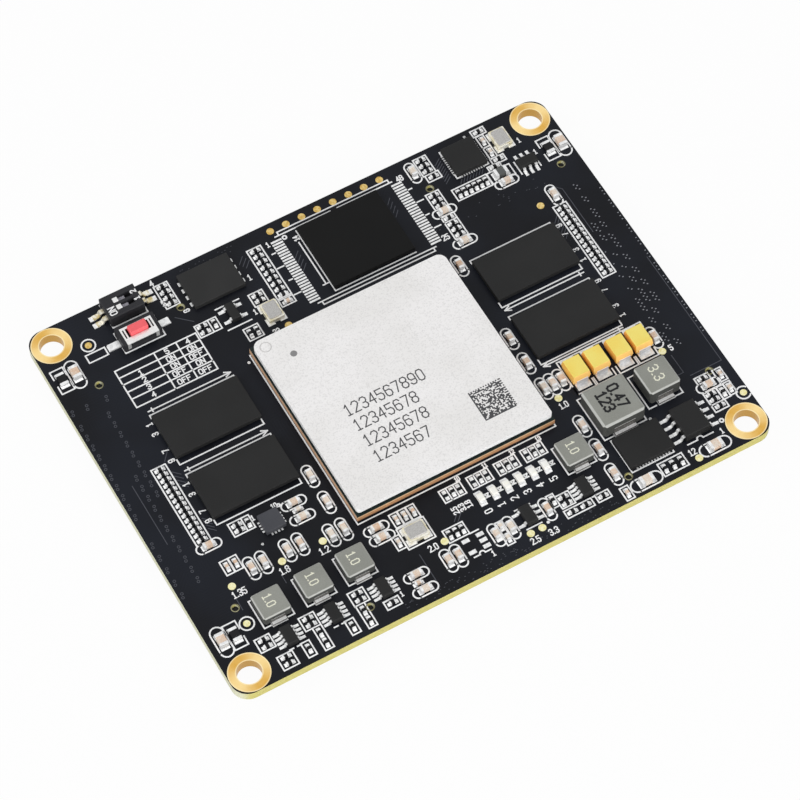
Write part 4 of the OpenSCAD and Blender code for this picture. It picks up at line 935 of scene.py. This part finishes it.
# %% [markdown]
# ## Rings round the peg holes
# Each connector's two locating pegs come up through the board, and a bare metal ring is left around each
# hole. A ring is a profile carried round a circle, so it is a grid of angle by profile point.

# %% Peg rings
PEGS = [(-35.85, 20.35), (-35.85, -19.95), (38.65, 20.35), (38.65, -19.95), (-20.1, 26.05), (20.2, 26.05),
        (-20.1, -28.8), (20.2, -28.8)]


def ring_of(profile, places, count=24):
    """Profile points (radius, height) turned about each place: x = px + r cos a, y = py + r sin a."""
    r, z = np.array(profile).T
    a = np.linspace(0, 2 * math.pi, count, endpoint=False)[:, None]
    shape = np.stack(np.broadcast_arrays(np.cos(a) * r, np.sin(a) * r, z), axis=2)
    corners = shape[None] + np.column_stack([places, np.zeros(len(places))])[:, None, None]
    k = np.arange(count * len(z)).reshape(count, len(z))
    after, above = np.roll(k, -1, axis=0), np.roll(k, -1, axis=1)
    quads = np.stack([k, after, np.roll(after, -1, axis=1), above], axis=2).reshape(-1, 4)
    return corners.reshape(-1, 3), np.vstack([quads + i * k.size for i in range(len(places))])


peg_ring = [(0.48, TOP), (0.63, TOP), (0.61, TOP + 0.03), (0.5, TOP + 0.03)]
peg_gold = metal_finish("dull_gold", "#9a9678", "#6f6b4e", 0.45, 0.3, 0.004)
piece("peg_rings", *ring_of(peg_ring, np.array(PEGS)), peg_gold, "gold")

# %% [markdown]
# ## Solder fillets
# Molten solder climbs the end of every chip part and freezes in a hollow curve from the land to the end cap.
# The profile is a quarter of a hollow arch, and it is carried across the width of the part at both ends.

# %% Solder fillets
HOLLOW = np.array([(0, 0), (1, 0), (0.55, 0.12), (0.25, 0.36), (0.08, 0.7), (0, 1)])


def fillets(parts, reach, climb):
    """Corner = middle + end * (length / 2 + reach * u) + side * width / 2, climb * v up, for both ends."""
    angle = np.radians(parts[:, 2])
    axis = np.column_stack([np.cos(angle), np.sin(angle)])
    side = np.column_stack([-axis[:, 1], axis[:, 0]])
    corners = []
    for end in (1, -1):
        out = (parts[:, 3, None] / 2 + reach * HOLLOW[None, :, 0]) * end
        flat = parts[:, None, :2] + axis[:, None] * out[..., None]
        wide = side[:, None] * (parts[:, 4, None, None] / 2 * WIDTH_SHARE) * end
        z = (TOP + LAND + parts[:, 5, None] * climb * HOLLOW[None, :, 1])[..., None]
        near, far = (np.concatenate([flat + s * wide, z], axis=2) for s in (-1, 1))
        corners.append(np.stack([near, far], axis=1))
    n = len(HOLLOW)
    k, after = np.arange(n), np.roll(np.arange(n), -1)
    first = 2 * n * np.arange(2 * len(parts))[:, None, None]
    walls = np.column_stack([k, after, after + n, k + n])[None] + first
    ends = np.stack([k[::-1], k + n])[None] + first
    return np.concatenate(corners).reshape(-1, 3), [*walls.reshape(-1, 4), *ends.reshape(-1, n)]


LAND, WIDTH_SHARE = 0.05, 0.94  # thickness of a land, wetted share of a part's width
piece("solder_fillets", *fillets(chips, 0.27, 0.62), finishes["tin"], "tin")

# %% [markdown]
# ## Marks on the parts
# The lid is etched dark grey: a dot at the first ball, lines of counting digits and a square of random cells
# like the codes that machines read, made here from a seeded pattern that says nothing. The chokes and the
# slide switch are printed with plain numbers.

# %% Marks on the lid
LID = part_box("processor_lid")[1].z / MM
ETCH, ETCH_HIGH = 0.17, 0.012  # stroke and height of an etched mark
ROWS_OF_DIGITS = (("1234567890", -2.1), ("12345678", -4.8), ("12345678", -7.6), ("1234567", -10.45))
etched = [writing(text, -9.2 + len(text) * 0.62, y, 1.75, 0, 0.75) for text, y in ROWS_OF_DIGITS]
etch = ink_finish("etched_grey", "#4c4c4e", "#8a8a8c", 0.5)
piece("lid_marks", *bars(np.vstack(etched), ETCH, LID, LID + ETCH_HIGH), etch)
dimple = ink_finish("first_ball_mark", "#8d8c8c", "#a5a4a3", 0.5)
disc = [(0.002, LID), (0.5, LID), (0.48, LID + ETCH_HIGH), (0.002, LID + ETCH_HIGH)]
piece("lid_dot", *ring_of(disc, np.array([(-10.75, 9.65)])), dimple)

# %% Square of cells and mould mark on the lid
CELLS, CODE_SIDE, CODE_CORNER = 26, 5.05, (6.87, -13.05)
CELL = CODE_SIDE / CELLS
grid = np.random.default_rng(11).random((CELLS, CELLS)) < 0.52
grid[:, 0], grid[0, :] = True, True
grid[-1, :], grid[:, -1] = np.arange(CELLS) % 2 == 0, np.arange(CELLS) % 2 == 1
row, column = np.nonzero(grid)
cells = np.column_stack([column + 0.5, row + 0.5]) * CELL + CODE_CORNER
piece("lid_code", *bars(short_bars(cells, 0.002), CELL, LID, LID + ETCH_HIGH), etch)
mould = ink_finish("mould_mark", "#d3d1cf", "#bcbab8", 0.5)
round_edge = [(0.7, LID), (0.86, LID), (0.83, LID + 0.02), (0.73, LID + 0.02)]
piece("lid_mould_mark", *ring_of(round_edge, np.array([(-13.65, 12.5)]), 40), mould, "lid_metal")

# %% Prints on the chokes and the slide switch
pale = ink_finish("pale_choke_print", "#ecebd8", "#cfcfc0", 0.6)
dark = ink_finish("dark_choke_print", "#131315", "#2c2d30", 0.6)


def top_of(name):
    """Middle (x, y) and top of a node's box, in mm."""
    low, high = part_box(name)
    return (low.x + high.x) / 2 / MM, (low.y + high.y) / 2 / MM, high.z / MM


def choke_print(name, node, lines, height, narrow, stroke, finish):
    """Lines of figures across a choke's top, read from its right; each line is moved along x by its shift."""
    x, y, z = top_of(node)
    strokes = np.vstack([writing(text, x + shift, y + 0.3, height, -90, narrow) for text, shift in lines])
    piece(name, *bars(strokes, stroke, z, z + INK), finish)


for i in range(1, 5):
    choke_print(f"choke_print_{i}", f"choke_{i}", [("1.0", -0.1)], 1.2, 0.72, 0.16, pale)
core_lines = [("123", -1.05), ("0.47", 0.95)]
choke_print("core_supply_choke_print", "core_supply_choke", core_lines, 1.5, 0.8, 0.3, dark)
choke_print("input_supply_choke_print", "input_supply_choke", [("3.3", 0.05)], 1.4, 0.8, 0.18, pale)

x, y, z = top_of("dip_housing")
strokes = np.vstack([writing("ON", x - 1.87, y - 0.9, 0.95, 90), writing("1", x + 2.1, y - 0.65, 0.75, 90),
                     writing("2", x + 2.1, y + 0.65, 0.75, 90)])
piece("slide_switch_print", *bars(strokes, 0.16, z, z + INK), white_ink)
